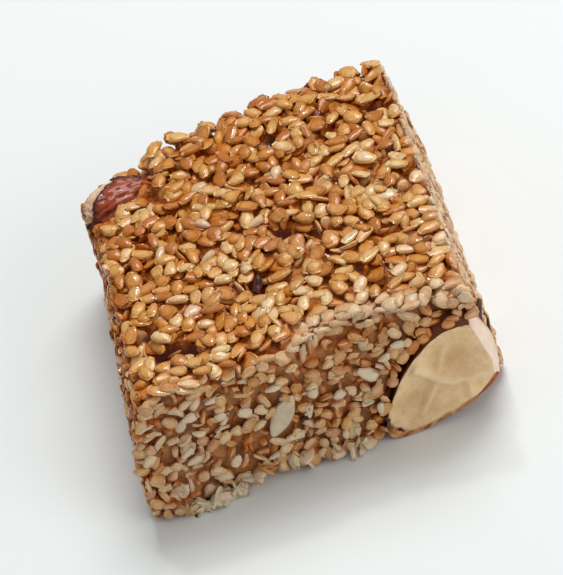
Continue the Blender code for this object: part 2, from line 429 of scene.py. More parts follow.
def seedFootprints(rng, flat):
    # the lower and upper surface of an ellipsoid over the cells around its middle: the two roots in z of
    # its quadratic form, which is 1 on the ellipsoid
    count = heap["orientations"]
    tilt = np.arccos(rng.uniform(0.0, 1.0, count))
    if flat:
        lying = np.abs(rng.normal(0.0, np.radians(heap["upTilt"]), count))
        tilt = np.where(rng.random(count) < heap["upAnyWay"], tilt, lying)
    axes = turned(rng.uniform(0.0, 2.0 * np.pi, count), tilt, rng.uniform(0.0, 2.0 * np.pi, count))
    scale = 1.0 + seed["sizeSpread"] * rng.normal(0.0, 1.0, (count, 3)).clip(-2.0, 2.0)
    half = scale * np.array((seed["length"], seed["width"], seed["thickness"])) / 2.0
    form = np.einsum("nij,nj,nkj->nik", axes, half ** -2.0, axes)
    span = np.arange(-heap["footprint"], heap["footprint"] + 1) * heap["cell"]
    dy, dx = (part.ravel() for part in np.meshgrid(span, span, indexing="ij"))
    linear = form[:, 0, 2, None] * dx + form[:, 1, 2, None] * dy
    level = form[:, 0, 0, None] * dx ** 2 + 2.0 * form[:, 0, 1, None] * dx * dy
    level = level + form[:, 1, 1, None] * dy ** 2 - 1.0
    inside = linear ** 2 - form[:, 2, 2, None] * level
    root = np.sqrt(np.maximum(inside, 0.0))
    lower = np.where(inside > 0.0, (-linear - root) / form[:, 2, 2, None], 1e3)
    upper = np.where(inside > 0.0, (-linear + root) / form[:, 2, 2, None], -1e3)
    return axes, half, lower, upper


def dropSeeds(rng, height, target, prints, choices, slack, press, upright, gap=heap["gap"]):
    # seeds fall one by one: of many places and ways to lie, each takes the one where it lies lowest
    axes, half, lower, upper = prints
    reach = heap["footprint"]
    wide = height.shape[1]
    span = np.arange(-reach, reach + 1)
    offsets = (span[:, None] * wide + span[None, :]).ravel()
    field, goal = height.ravel(), target.ravel()
    top = upper.max(axis=1)
    rest, misses, due = [], 0, 0
    while misses < heap["patience"]:
        if due <= 0:
            free = np.flatnonzero(field < goal - gap)
            due = heap["refresh"]
            if not len(free):
                break
        due -= 1
        cells = free[rng.integers(0, len(free), choices)]
        kinds = rng.integers(0, len(top), choices)
        middle = (field[cells[:, None] + offsets] - lower[kinds]).max(axis=1) - press
        score = middle - upright * top[kinds] + heap["chance"] * rng.random(len(cells))
        score[middle + top[kinds] > goal[cells] + slack] = np.inf
        best = int(np.argmin(score))
        if np.isinf(score[best]):
            misses += 1
            due = 0
            continue
        misses = 0
        around = cells[best] + offsets
        field[around] = np.maximum(field[around], middle[best] + upper[kinds[best]])
        rest.append((cells[best], middle[best], kinds[best]))
    return np.array(rest).reshape(-1, 3)


def heapOfSeeds(rng):
    # middles, axes and half sizes of the slab's seeds, laid in layers: the bottom, the sides, the top
    cells = int(2.0 * heap["reach"] / heap["cell"]) + 1
    line = (np.arange(cells) - cells // 2) * heap["cell"]
    y, x = np.meshgrid(line, line, indexing="ij")
    lying, tumbled = seedFootprints(rng, True), seedFootprints(rng, False)
    pits = crownHeight(x, y) - crownHeight(x, y, False)

    # the highest place over each cell that is still inside the slab, let out past the cuts
    halfX, halfY = slab["width"] / 2.0, slab["depth"] / 2.0
    out = heap["overCut"]
    target = np.full(x.shape, heap["farOut"])
    for level in np.linspace(0.0, 1.0, 13):
        u, v, same = toBox(x, y, None, np.full(x.shape, level))
        inside = (np.abs(u) < halfX + out) & (v > -halfY - out) & (v < halfY - 0.4)
        height = level * (slab["height"] + crownHeight(x, y))
        target = np.where(inside, height, target)
    within = np.minimum(halfX - np.abs(u), np.minimum(halfY + v, halfY - v))

    # the goal of the top: the dome less its rounded edge, a quarter circle, with deeper pits and bumps
    radius = slab["edgeRound"]
    fall = radius - np.sqrt(np.maximum(radius ** 2 - (radius - np.clip(within, 0.0, radius)) ** 2, 0.0))
    topGoal = np.minimum(target, slab["height"] + crownHeight(x, y) - fall)
    topGoal = topGoal + (heap["pitDepth"] - 1.0) * pits
    rise, size = heap["unevenTop"]
    topGoal = topGoal + rise * valueNoise(np.stack((x, y, 0.0 * x), -1), size, 17)
    topGoal[target < 0.0] = heap["farOut"]

    # the almond fills its corner from the start
    base = baseLift(x, y)
    height = np.where(target < 0.0, heap["farOut"] / 2.0, base)
    for z in np.arange(0.0, 18.1, 0.4):
        height = np.where(nearAlmond(x, y, z) < 1.0, np.maximum(height, z), height)

    rows = []
    slack, press = heap["slack"], heap["press"]
    inSides = (tumbled, heap["sideCandidates"], slack, press, heap["sideUpright"])
    rows.append(dropSeeds(rng, height, np.minimum(topGoal, base + heap["layer"]), *inSides))
    print("bottom layer:", len(rows[-1]))

    # the middle is hidden, so it is skipped
    plateau = topGoal - heap["shell"]
    ring = within < heap["shell"] + 1.5
    height = np.where(ring | (target < 0.0), height, np.maximum(height, plateau))
    rows.append(dropSeeds(rng, height, np.minimum(topGoal, plateau), *inSides))
    print("sides:", len(rows[-1]))

    # the nut lies in the broken corner: its upper surface, as an ellipsoid with one end narrower
    end, side, up = nutLocal(x, y, 0.0)
    narrow = 1.0 - nut["narrowing"] * np.clip(end, -1.0, 1.0)
    bulge = 1.0 - end ** 2 - side ** 2
    roof = nut["centre"][2] - end * nut["size"][0] / 2.0 * np.sin(np.radians(nut["tip"]))
    roof = roof + nut["roll"] * side * nut["size"][1] / 2.0
    roof = roof + nut["size"][2] / 2.0 * narrow * np.sqrt(np.maximum(bulge, 0.0))
    height = np.where(bulge > 0.0, np.maximum(height, roof), height)
    rows.append(dropSeeds(rng, height, topGoal, lying, heap["candidates"], slack, press, heap["upright"]))
    print("top:", len(rows[-1]))
    inGaps = (lying, heap["gapCandidates"], slack, heap["fillPress"], 0.0)
    rows.append(dropSeeds(rng, height, topGoal - 0.1, *inGaps))
    print("last gaps:", len(rows[-1]))

    # rows hold a seed's cell, the height of its middle and its print; the lying prints follow the others
    for onTop in rows[2:]:
        onTop[:, 2] += heap["orientations"]
    rows = np.concatenate(rows)
    cell, kind = rows[:, 0].astype(int), rows[:, 2].astype(int)
    prints = [np.concatenate(pair) for pair in zip(tumbled[:2], lying[:2])]
    jitter = rng.uniform(-0.4, 0.4, (len(rows), 2)) * heap["cell"]
    place = np.column_stack((line[cell % cells], line[cell // cells])) + jitter
    middle = np.column_stack((place, rows[:, 1]))
    return middle, prints[0][kind], prints[1][kind], line, height, tumbled


# meshes from arrays
def makeMesh(name, points, quads, triangles=None, attributes=None, maps=None, sharp=None):
    # points in millimetres before the frame's shift; faces as rows of point numbers
    points = (points + (slab["frameShift"][0], slab["frameShift"][1], 0.0)) * millimetre
    triangles = np.zeros((0, 3), int) if triangles is None else triangles
    mesh = bpy.data.meshes.new(name)
    mesh.vertices.add(len(points))
    mesh.vertices.foreach_set("co", points.astype(np.float32).ravel())
    corners = np.concatenate((quads.ravel(), triangles.ravel())).astype(np.int32)
    starts = np.concatenate((np.arange(len(quads)) * 4, 4 * len(quads) + np.arange(len(triangles)) * 3))
    mesh.loops.add(len(corners))
    mesh.loops.foreach_set("vertex_index", corners)
    mesh.polygons.add(len(starts))
    mesh.polygons.foreach_set("loop_start", starts.astype(np.int32))
    mesh.update(calc_edges=True)
    for key, values in (attributes or {}).items():
        layer = mesh.attributes.new(key, "FLOAT", "POINT")
        layer.data.foreach_set("value", np.asarray(values, np.float32).ravel())
    for key, chart in (maps or {}).items():
        layer = mesh.uv_layers.new(name=key)
        layer.data.foreach_set("uv", chart.astype(np.float32).ravel())
    mesh.validate()
    mesh.shade_smooth()
    if sharp:
        mesh.set_sharp_from_angle(angle=np.radians(sharp))
    item = bpy.data.objects.new(name, mesh)
    bpy.context.scene.collection.objects.link(item)
    return item


def gridFaces(rows, around, closed):
    # quads of a grid of points, closed round its second way
    r, c = np.meshgrid(np.arange(rows - 1), np.arange(around if closed else around - 1), indexing="ij")
    r, c = r.ravel(), c.ravel()
    n = (c + 1) % around
    return np.column_stack((r * around + c, r * around + n, (r + 1) * around + n, (r + 1) * around + c))


poleDraw = 0.17  # how far a ball's rings are drawn towards its poles


def ball(rows, around, blunt=1.0):
    # rings from pole to pole along the first axis, with one point at each pole; also its faces and its map
    turn = np.pi * (np.arange(rows) + 1.0) / (rows + 1.0)
    turn = turn - poleDraw * np.sin(2.0 * turn)
    angle = 2.0 * np.pi * np.arange(around) / around
    u = np.repeat(-np.cos(turn), around)
    radius = np.repeat(np.sin(turn) ** blunt, around)
    v = np.tile(angle, rows)
    points = np.column_stack((u, radius * np.cos(v), radius * np.sin(v)))
    points = np.concatenate(([(-1.0, 0.0, 0.0)], points, [(1.0, 0.0, 0.0)]))
    quads = gridFaces(rows, around, True)[:, ::-1] + 1
    c = np.arange(around)
    n = (c + 1) % around
    last = 1 + (rows - 1) * around
    first = np.column_stack((np.zeros(around, int), c + 1, n + 1))[:, ::-1]
    final = np.column_stack((np.full(around, last + around), last + n, last + c))[:, ::-1]
    # the map: round the ball across, pole to pole up
    r = np.repeat(np.arange(rows - 1), around)
    cc = np.tile(c, rows - 1)
    quadU = np.column_stack((cc, cc + 1, cc + 1, cc))[:, ::-1]
    quadV = np.column_stack((r, r, r + 1, r + 1))[:, ::-1] + 1
    firstU = np.column_stack((c + 0.5, c, c + 1))[:, ::-1]
    firstV = np.column_stack((0 * c, 0 * c + 1, 0 * c + 1))[:, ::-1]
    finalU = np.column_stack((c + 0.5, c + 1, c))[:, ::-1]
    finalV = np.column_stack((0 * c + rows + 1, 0 * c + rows, 0 * c + rows))[:, ::-1]
    mapU = np.concatenate((quadU.ravel(), firstU.ravel(), finalU.ravel())) / around
    mapV = np.concatenate((quadV.ravel(), firstV.ravel(), finalV.ravel())) / (rows + 1.0)
    return points, quads, np.concatenate((first, final)), np.column_stack((mapU, mapV))


def sampled(field, line, x, y):
    # a height field read between its points
    step = line[1] - line[0]
    u = np.clip((x - line[0]) / step, 0.0, len(line) - 1.001)
    v = np.clip((y - line[0]) / step, 0.0, len(line) - 1.001)
    i, j = u.astype(int), v.astype(int)
    a, b = u - i, v - j
    low = field[j, i] * (1.0 - a) + field[j, i + 1] * a
    high = field[j + 1, i] * (1.0 - a) + field[j + 1, i + 1] * a
    return low * (1.0 - b) + high * b


# the seeds at the cuts
cuts = {
    "wobble": 0.15,           # how far a cut seed's face stands off the cut
    "inset": 0.08,
    "least": 9,               # points that a seed needs inside a cut to be kept
    "leastDepth": 0.14,       # and how deep their middle must lie
    "crushed": (0.78, 0.90, 1.55),  # the seeds at the front are shorter and thicker
    "crushDepth": 1.7,
    "crushBelow": 1.0,        # not so near the top
    "pushed": 0.30,           # share of the seeds at a cut that the knife pushed in whole
    "creamy": 0.36,           # share of the cut seeds that show their pale inside
    "creamDepth": 0.40,       # how much of a seed is gone where its face is all pale
    "creamBySide": {"front": 1.0, "left": 0.2, "right": 1.0},
    "bevel": (0.45, 2.3),     # of the front's top edge: everywhere, and more at its widest
    "bevelAt": (6.5, 9.0),    # where it is widest, and how far it reaches
    "bevelTurn": 32.0,        # 0 would be upright
    "bevelUneven": 0.2,
}


def outsideOf(points):
    # how far each point is outside the front, left and right cuts, the back, the top and the base
    x, y, z = points[..., 0], points[..., 1], points[..., 2]
    u, v, level = toBox(x, y, z)
    tall = slab["height"] + crownHeight(x, y)
    return {
        "front": -v - slab["depth"] / 2.0,
        "left": -u - slab["width"] / 2.0,
        "right": u - slab["width"] / 2.0,
        "back": v - slab["depth"] / 2.0,
        "top": (levelOf(x, y, z) - 1.0) * tall,
        "base": baseLift(x, y) - z,
    }


def bevelWidth(x):
    wide = cuts["bevel"][0] + cuts["bevel"][1] * hump(x, *cuts["bevelAt"])
    return wide * (1.0 + cuts["bevelUneven"] * lumps(1.3 * x, 0.0, 0.9))


def bevelOutside(points, out):
    # how far a point is outside the slanting cut along the front's top edge: the edge's two distances,
    # each by its share in the cut's normal
    turn = np.radians(cuts["bevelTurn"])
    return (bevelWidth(points[..., 0]) + out["front"]) * np.cos(turn) + out["top"] * np.sin(turn)


film = {
    "size": 3.4,              # of the clouds of pale film that the knife left
    "crumbSize": 0.9,
    "front": (0.16, 0.40),    # how strong it is on the front cut: least, and more in the clouds
    "left": (-21.5, 4.0, 0.45),  # more at the front's left end: where, how far and how much
    "edge": (1.1, 2.4),       # its width on the top's front edge: at the left, and more at the right
    "edgeSpan": (-4.0, 6.0),  # where the right begins, and over how far
    "edgeStrength": (0.45, 0.42),
    "right": 1.0,             # on the right cut, where the pale film also stands in for the glossy reflection at a grazing angle: painted reflection
    "top": 0.20,              # on the top towards the front and the right
}


def towardsFront(x, y):
    # 0 at the back left, 1 at the front right
    return smoothStep((0.5 * x - y + 24.0) / 52.0)


def filmOn(points, out):
    # pale film on the cuts: clouds on the front, a band along its top edge, and most of the right cut, where
    # it is partly painted reflection
    x = points[..., 0]
    clouds = smoothStep(0.5 + 0.8 * valueNoise(points, film["size"], 61))
    fine = smoothStep(0.5 + 0.8 * valueNoise(points, film["crumbSize"], 62))
    atFront = smoothStep((out["front"] + 0.8) / 0.6)
    front = film["front"][0] + film["front"][1] * clouds + film["left"][2] * hump(x, *film["left"][:2])
    right = smoothStep((x - film["edgeSpan"][0]) / film["edgeSpan"][1])
    near = out["front"] + bevelWidth(x) + film["edge"][0] + film["edge"][1] * right
    edge = smoothStep(near / 1.2) * smoothStep((out["top"] + 2.2) / 1.2)
    edge = edge * (film["edgeStrength"][0] + film["edgeStrength"][1] * right) * (0.55 + 0.45 * fine)
    # the right cut's pale film, partly painted reflection
    side = film["right"] * smoothStep((out["right"] + 0.7) / 0.5) * (0.6 + 0.4 * fine)
    dust = film["top"] * towardsFront(x, points[..., 1]) * clouds
    return np.clip(np.max((front * atFront * (0.6 + 0.4 * fine), edge, side, dust), axis=0), 0.0, 1.0)


def cutThrough(points, outside):
    # points outside a cut slide back to it, straight towards the middle of the seed's part inside
    inside = outside < -0.03
    count = inside.sum(axis=1)
    weight = inside / np.maximum(count, 1)[:, None]
    anchor = np.einsum("nv,nvk->nk", weight, points)
    depth = (weight * outside).sum(axis=1)
    share = depth[:, None] / np.minimum(depth[:, None] - outside, -1e-6)
    share = np.where(outside > 0.0, share, 1.0)
    kept = (count >= cuts["least"]) & (depth < -cuts["leastDepth"])
    points = anchor[:, None, :] + (points - anchor[:, None, :]) * share[..., None]
    return points, kept


def seedPoints(rng, middle, axes, half):
    # teardrops with a blunt and a pointed end, each a little bent, curled, dished and dented: the height
    # over the seed's plane is the ball's, less the dish, plus terms in the squares of the place
    shape = ball(seed["rings"], seed["around"], seed["blunt"])[0]
    x, y, z = shape.T
    around = np.maximum(np.hypot(y, z), 1e-6)
    y, z = (around * np.sign(part) * (np.abs(part) / around) ** 0.8 for part in (y, z))
    count = len(middle)
    taper = seed["taper"] * rng.uniform(0.2, 1.6, (count, 1))
    bend = rng.normal(0.0, seed["bend"], (count, 1))
    cup = rng.normal(0.0, seed["cup"], (count, 1))
    dish = np.clip(np.abs(rng.normal(0.0, seed["dish"], (count, 1))), 0.0, 0.85)
    dent = 1.0 + 0.05 * rng.normal(0.0, 1.0, (count, len(x))) * (np.abs(x) < 0.99)
    flip = np.where(rng.random((count, 1)) < 0.5, -1.0, 1.0)
    sunken = 1.0 - dish * np.clip(1.0 - 1.6 * y ** 2 - x ** 4, 0.0, 1.0)
    rise = z * sunken * (1.0 + 0.5 * taper * x) + bend * (x ** 2 - 0.4) + cup * (x ** 2 + y ** 2 - 0.6)
    local = np.stack((x * dent * flip, y * dent * (1.0 + taper * x) * flip, rise), -1) * half[:, None, :]
    return middle[:, None, :] + np.einsum("nij,nvj->nvi", axes, local)


faceFill = {
    "bed": -1.10,             # how deep the gaps between the cut seeds are, before they are filled
    "bedUneven": (0.25, 2.0),  # its bumps: their height and size
    "goal": 0.02,             # how far the filling seeds may come out
    "uneven": (0.20, 1.7),
    "smaller": (0.64, 0.78, 1.30),  # the seeds there against the others
    "margin": 0.4,            # how far they keep from the cut's edges
    "clearAlmond": 1.08,
    "clearSliver": 1.25,
    "choices": 40,            # these five as in the heap
    "slack": 0.16,
    "press": 0.55,
    "upright": 0.15,
    "gap": 0.15,
    "axes": {                 # along, up and out of each cut
        "front": ((1.0, 0.0, 0.0), (0.0, 0.0, 1.0), (0.0, -1.0, 0.0)),
        "left": ((0.0, -1.0, 0.0), (0.0, 0.0, 1.0), (-1.0, 0.0, 0.0)),
        "right": ((0.0, 1.0, 0.0), (0.0, 0.0, 1.0), (1.0, 0.0, 0.0)),
        "back": ((-1.0, 0.0, 0.0), (0.0, 0.0, 1.0), (0.0, 1.0, 0.0)),
    },
}


def roofOf(x, y):
    return slab["height"] + crownHeight(x, y)


def fillCut(rng, side, points, prints):
    # whole seeds in the gaps of a cut, laid as on a heap that grows outwards
    frameAxes = np.array(faceFill["axes"][side])
    cell = heap["cell"]
    wide = np.arange(-30.0, 30.0, cell)
    tall = np.arange(-4.0, 28.0, cell)
    b, a = np.meshgrid(tall, wide, indexing="ij")
    halfX, halfY = slab["width"] / 2.0, slab["depth"] / 2.0
    reach, stand = (halfX, halfY) if side in ("front", "back") else (halfY, halfX)
    flat = np.stack((a, b, 0.0 * a), -1)
    rise, size = faceFill["bedUneven"]
    field = faceFill["bed"] + rise * valueNoise(flat, size, 31)

    # the seeds already there, as a height field over the cut
    u, v, level = toBox(points[..., 0], points[..., 1], points[..., 2])
    place = np.stack((u, v, level * slab["height"]), -1).reshape(-1, 3)
    out = place @ frameAxes[2] - stand
    near = (out > faceFill["bed"]) & (out < 0.6)
    place, out = place[near], out[near]
    i = np.clip(((place @ frameAxes[0] - wide[0]) / cell).round().astype(int), 2, len(wide) - 3)
    j = np.clip(((place @ frameAxes[1] - tall[0]) / cell).round().astype(int), 2, len(tall) - 3)
    for beside in range(9):
        np.maximum.at(field, (j + beside // 3 - 1, i + beside % 3 - 1), out)

    # where seeds may go: off the edges, the nuts and the slanting cut
    margin = faceFill["margin"]
    inside = (np.abs(a) < reach - margin) & (b > margin) & (b < slab["height"] - 0.5 * margin)
    boxed = a[..., None] * frameAxes[0] + b[..., None] * frameAxes[1] + stand * frameAxes[2]
    x, y, z = fromBox(boxed[..., 0], boxed[..., 1], boxed[..., 2] / slab["height"], roofOf)
    inside &= nearAlmond(x, y, z) > faceFill["clearAlmond"]
    inside &= nearSliver(x, y, z) > faceFill["clearSliver"]
    inside &= ~atAlmondEnd(np.stack((x, y, z), -1), *almond["clearOfFill"])
    rise, size = faceFill["uneven"]
    goal = faceFill["goal"] + rise * valueNoise(flat, size, 32)
    if side == "front":
        slant = bevelWidth(x) + (b - slab["height"]) * np.tan(np.radians(cuts["bevelTurn"]))
        goal = goal - np.maximum(slant, 0.0)
    field = np.where(field > faceFill["bed"] + 0.3, field, np.minimum(field, goal - 1.0))
    goal = np.where(inside, goal, heap["farOut"])
    ways = (faceFill[key] for key in ("choices", "slack", "press", "upright", "gap"))
    rows = dropSeeds(rng, field, goal, prints, *ways)
    spot, kind = rows[:, 0].astype(int), rows[:, 2].astype(int)
    boxed = np.outer(wide[spot % len(wide)], frameAxes[0]) + np.outer(tall[spot // len(wide)], frameAxes[1])
    boxed += np.outer(stand + rows[:, 1], frameAxes[2])
    x, y, z = fromBox(boxed[:, 0], boxed[:, 1], boxed[:, 2] / slab["height"], roofOf)
    axes = np.einsum("ji,njk->nik", frameAxes, prints[0][kind])
    print("filled", side, len(rows))
    return np.column_stack((x, y, z)), axes, prints[1][kind] * np.array(faceFill["smaller"])


# seeds and flakes at listed places
# pale whole seeds and bits in the front cut: along, up, turn in degrees, length, width
brightBits = (
    (7.6, 13.9, -48.0, 3.7, 2.1), (-19.1, 16.6, 10.0, 2.4, 2.0), (-11.2, 14.3, -20.0, 2.3, 1.9),
    (-14.9, 6.4, 60.0, 2.6, 1.7), (-21.2, 10.9, 35.0, 2.6, 1.3), (-20.6, 9.2, 20.0, 2.8, 1.3),
    (-0.9, 13.7, 70.0, 2.0, 1.8), (-2.2, 10.8, 75.0, 2.9, 1.1), (6.3, 8.6, 0.0, 1.9, 1.3),
    (7.8, 7.0, 80.0, 2.2, 1.3), (-5.4, 7.0, 12.0, 3.4, 1.2), (-8.9, 4.6, 15.0, 3.2, 1.1),
    (2.7, 11.6, 30.0, 2.2, 1.6), (-15.0, 18.3, 15.0, 2.6, 1.0), (1.6, 4.2, 88.0, 1.9, 1.1),
    (3.4, 4.0, 80.0, 1.8, 1.1), (-23.9, 4.8, 75.0, 2.9, 1.9), (-18.7, 13.4, -30.0, 2.2, 1.2),
    (10.9, 15.6, 20.0, 2.5, 1.6), (13.2, 17.2, -10.0, 2.3, 1.5), (-6.0, 16.8, 8.0, 2.7, 1.2),
)
# flakes and seeds that stand out along the worn foot of the front: first and last place, how many
footFlakes = ((-25.4, -20.5, 9), (-20.5, -14.0, 11), (-14.0, -10.0, 4), (-7.5, -2.5, 4), (-2.0, 7.5, 8))
# pale and round seeds that stand out on the top: along, back, turn in degrees, length, width
topBits = (
    (-8.8, 15.0, 18.0, 3.7, 2.3), (-9.2, 6.5, -42.0, 2.7, 1.6), (-9.9, -0.6, 30.0, 3.2, 1.4),
    (-16.7, 4.2, 70.0, 2.8, 1.6), (18.8, -0.1, 0.0, 3.0, 2.8), (-14.3, -10.0, 40.0, 3.0, 2.8),
    (3.6, 12.0, 75.0, 3.0, 1.9), (-1.5, 3.0, 10.0, 3.3, 1.6),
)
byHand = {
    "thickness": 0.9,
    "stand": 0.05,            # how far their middles stand out
    "tilt": 0.15,             # in the front cut
    "topTilt": 0.12,
    "footBack": -26.5,        # where the foot of the front is
    "footHeight": (0.25, 1.9),
    "footOut": (-0.2, 0.55),
    "footSize": (0.65, 1.05),
}


def frontY(x, z):
    # where the front cut stands, lumps included
    return frontShift(x, z / slab["height"]) - slab["depth"] / 2.0


def bitsInFront(rng):
    x, z, turn, long, wide = np.array(brightBits).T
    count = len(x)
    middle = np.column_stack((x, frontY(x, z) - byHand["stand"], z))
    turn = np.radians(turn)
    zero = np.zeros(count)
    length = np.column_stack((np.cos(turn), zero, np.sin(turn)))
    facing = [byHand["tilt"] * rng.normal(0, 1, count), zero - 1.0, byHand["tilt"] * rng.normal(0, 1, count)]
    across = np.cross(np.column_stack(facing), length)
    across = across / np.linalg.norm(across, axis=1, keepdims=True)
    axes = np.stack((length, across, np.cross(length, across)), -1)
    return middle, axes, np.column_stack((long, wide, byHand["thickness"] + zero)) / 2.0


def flakesAtFoot(rng):
    x = np.concatenate([rng.uniform(first, last, many) for first, last, many in footFlakes])
    count = len(x)
    z = baseLift(x, np.full(count, byHand["footBack"])) + rng.uniform(*byHand["footHeight"], count)
    y = frontY(x, z) - rng.uniform(*byHand["footOut"], count)
    spin, tilt = rng.uniform(0.0, 6.3, count), np.arccos(rng.uniform(0.0, 1.0, count))
    axes = turned(spin, tilt, rng.uniform(0.0, 6.3, count))
    half = np.array((seed["length"], seed["width"], seed["thickness"])) / 2.0
    return np.column_stack((x, y, z)), axes, half * rng.uniform(*byHand["footSize"], (count, 1))


def bitsOnTop(rng):
    x, y, turn, long, wide = np.array(topBits).T
    count = len(x)
    zero = np.zeros(count)
    middle = np.column_stack((x, y, sampled(smooth, line, x, y) + byHand["stand"]))
    axes = turned(zero, byHand["topTilt"] * rng.normal(0.0, 1.0, count), np.radians(turn))
    return middle, axes, np.column_stack((long, wide, byHand["thickness"] + zero)) / 2.0


def seedPiece(name, points, attributes, sharp=None):
    # one mesh of many seeds; each has its own square of the baking map, and all share the seeds' map
    shape, quads, triangles, chart = ball(seed["rings"], seed["around"])
    count, each = points.shape[:2]
    step = (np.arange(count) * each)[:, None, None]
    side = int(np.ceil(np.sqrt(count)))
    place = np.column_stack((np.arange(count) % side, np.arange(count) // side))
    parts = (chart[:quads.size], chart[quads.size:])
    own = [np.broadcast_to(part, (count,) + part.shape).reshape(-1, 2) for part in parts]
    packed = [((place[:, None, :] + 0.06 + 0.88 * part[None]) / side).reshape(-1, 2) for part in parts]
    quads, triangles = (quads[None] + step).reshape(-1, 4), (triangles[None] + step).reshape(-1, 3)
    maps = {"OFBake": np.concatenate(packed), "seedMap": np.concatenate(own)}
    return makeMesh(name, points.reshape(-1, 3), quads, triangles, attributes, maps, sharp)


rng = np.random.default_rng(20)
middle, axes, half, line, heapTop, tumbled = heapOfSeeds(rng)
print("seeds laid:", len(middle))

# only those near the outside are kept, and none inside the nuts
clear = {
    "almond": (1.05, 1.13),   # in its own half sizes: behind the front cut, and at it
    "atFront": -23.5,
    "nut": 1.0,
    "sliver": 1.15,
}
out = outsideOf(middle)
slant = bevelOutside(middle, out)
keep = np.max([*out.values(), slant], axis=0) > -heap["keep"]
behind, before = clear["almond"]
keep &= nearAlmond(*middle.T) > np.where(middle[:, 1] < clear["atFront"], before, behind)
keep &= (nearNut(*middle.T) > clear["nut"]) & (nearSliver(*middle.T) > clear["sliver"])
keep &= ~atAlmondEnd(middle, *almond["clearOfSeeds"])
crushed = (np.maximum(out["front"], slant) > -cuts["crushDepth"]) & (out["top"] < -cuts["crushBelow"])
half = half * np.where(crushed[:, None], cuts["crushed"], 1.0)
middle, axes, half = middle[keep], axes[keep], half[keep]
points = seedPoints(rng, middle, axes, half)
count = len(points)
tone = rng.random(count)
creamy = rng.random(count)
print("seeds kept:", count)

# each cut in turn: some seeds are pushed in whole, and the others are cut through
paleness = np.zeros(points.shape[:2])
kept = np.ones(count, bool)
atCut = np.zeros(count, bool)
for side in ("front", "left", "right"):
    out = outsideOf(points)[side]
    touches = out.max(axis=1) > 0.0
    atCut |= touches
    whole = touches & (out.mean(axis=1) < -0.05) & (rng.random(count) < cuts["pushed"])
    push = np.where(whole, out.max(axis=1) - rng.uniform(-0.05, 0.35, count), 0.0)
    points = points - push[:, None, None] * np.array(faceFill["axes"][side][2])
    out = out - push[:, None]
    stand = rng.normal(0.0, cuts["wobble"], count) + cuts["inset"]
    cutPoints, good = cutThrough(points, out + stand[:, None])
    points = np.where(whole[:, None, None], points, cutPoints)
    gone = np.clip((out + stand[:, None]) / cuts["creamDepth"], 0.0, 1.0) * ~whole[:, None]
    paleness = np.maximum(paleness, gone * cuts["creamBySide"][side])
    kept &= good | whole | (out.max(axis=1) <= 0.0)

# then the slanting edge and the base
slant = bevelOutside(points, outsideOf(points)) + 0.7 * rng.normal(0.0, cuts["wobble"], count)[:, None]
beveled = slant.max(axis=1) > 0.0
atCut |= beveled
points, good = cutThrough(points, slant)
paleness = np.maximum(paleness, np.clip(slant / cuts["creamDepth"], 0.0, 1.0))
kept &= good | ~beveled
points, good = cutThrough(points, outsideOf(points)["base"] + 0.03)
kept &= good
cream = paleness * np.where(creamy < cuts["creamy"], 0.6 + 0.4 * creamy / cuts["creamy"], 0.12)[:, None]

# the pieces: 0 on the top, 1 at the cuts, 2 at the other edges, 3 pressed into the gaps
pieceNames = ("topSeeds", "cutSeeds", "edgeSeeds", "pressedSeeds")
group = np.where(atCut, 1, 2)
group[~atCut & (middle[:, 2] > 12.0) & (outsideOf(middle)["back"] < -2.6)] = 0
laid = (points[kept], tone[kept], cream[kept], group[kept])


def withMore(laid, more, paleShare, pale):
    # whole seeds join the rest; some of them are pale
    count, each = more.shape[:2]
    tone = rng.random(count)
    cream = np.where(rng.random((count, 1)) < paleShare, pale, 0.0) * np.ones(each)
    added = (more, tone, cream, np.full(count, 3))
    return tuple(np.concatenate(pair) for pair in zip(laid, added))


for side, paleShare in (("front", 0.12), ("left", 0.04), ("right", 0.2), ("back", 0.05)):
    laid = withMore(laid, seedPoints(rng, *fillCut(rng, side, laid[0], tumbled)), paleShare, 0.75)
smooth = blurred(np.maximum(heapTop, 0.0), 6)
for bits, paleShare, pale in ((bitsInFront, 1.0, 1.0), (flakesAtFoot, 0.8, 1.0), (bitsOnTop, 1.0, 0.6)):
    laid = withMore(laid, seedPoints(rng, *bits(rng)), paleShare, pale)
points, tone, cream, group = laid
points[..., 2] = np.maximum(points[..., 2], 0.02)

# seeds that stand out past the solids' box are pushed back towards it
shift = np.array((slab["frameShift"][0], slab["frameShift"][1], 0.0))
lowest, highest = (np.array(corner) / millimetre - shift for corner in cadBox)
past = np.maximum(lowest - slab["pastBox"] - points.min(axis=1), 0.0)
past = past - np.maximum(points.max(axis=1) - highest - slab["pastBox"], 0.0)
points = points + past[:, None, :]

# what a seed's finish depends on: its tone, and how pale, how deep in a gap and how smeared each point is;
# deep in a gap it takes the caramel's colour and painted shade
tint = {
    "towardsFront": 0.26,     # how much lighter seeds are there
    "atFront": 0.04,
    "gapCaramelAndShadeRun": 1.1,           # how far in a seed is all dark: the caramel's colour with painted shade
    "smearKept": 0.55,        # smeared seeds are less dark
    "pocket": 0.4,            # how much painted shade darkens the seeds above the almond
    "pocketReach": (1.12, 0.3),
    "pocketAbove": (11.0, 3.0),
}
out = outsideOf(points)
slant = bevelOutside(points, out)
tone = tone + tint["towardsFront"] * (towardsFront(*points.mean(axis=1)[:, :2].T) - 0.6)
tone = np.clip(tone + tint["atFront"] * (out["front"].mean(axis=1) > -1.2), 0.0, 1.0)
smear = filmOn(points, out)
nearest = np.max([slant] + [out[key] for key in out if key != "top"], axis=0)
roofDepth = sampled(smooth, line, points[..., 0], points[..., 1]) + 0.10 - points[..., 2]
# seeds deep in the gaps are painted dark: partly the caramel's colour, partly painted shade
deep = np.clip(np.minimum(roofDepth, -nearest) / tint["gapCaramelAndShadeRun"], 0.0, 1.0)
deep = deep * (1.0 - tint["smearKept"] * smear)


def almondPocketShade(x, y, z, strength):
    # painted shade round the almond: 1 times the strength at the almond, falling to 0 a little way off
    first, run = tint["pocketReach"]
    return strength * (1.0 - smoothStep((nearAlmond(x, y, z) - first) / run))


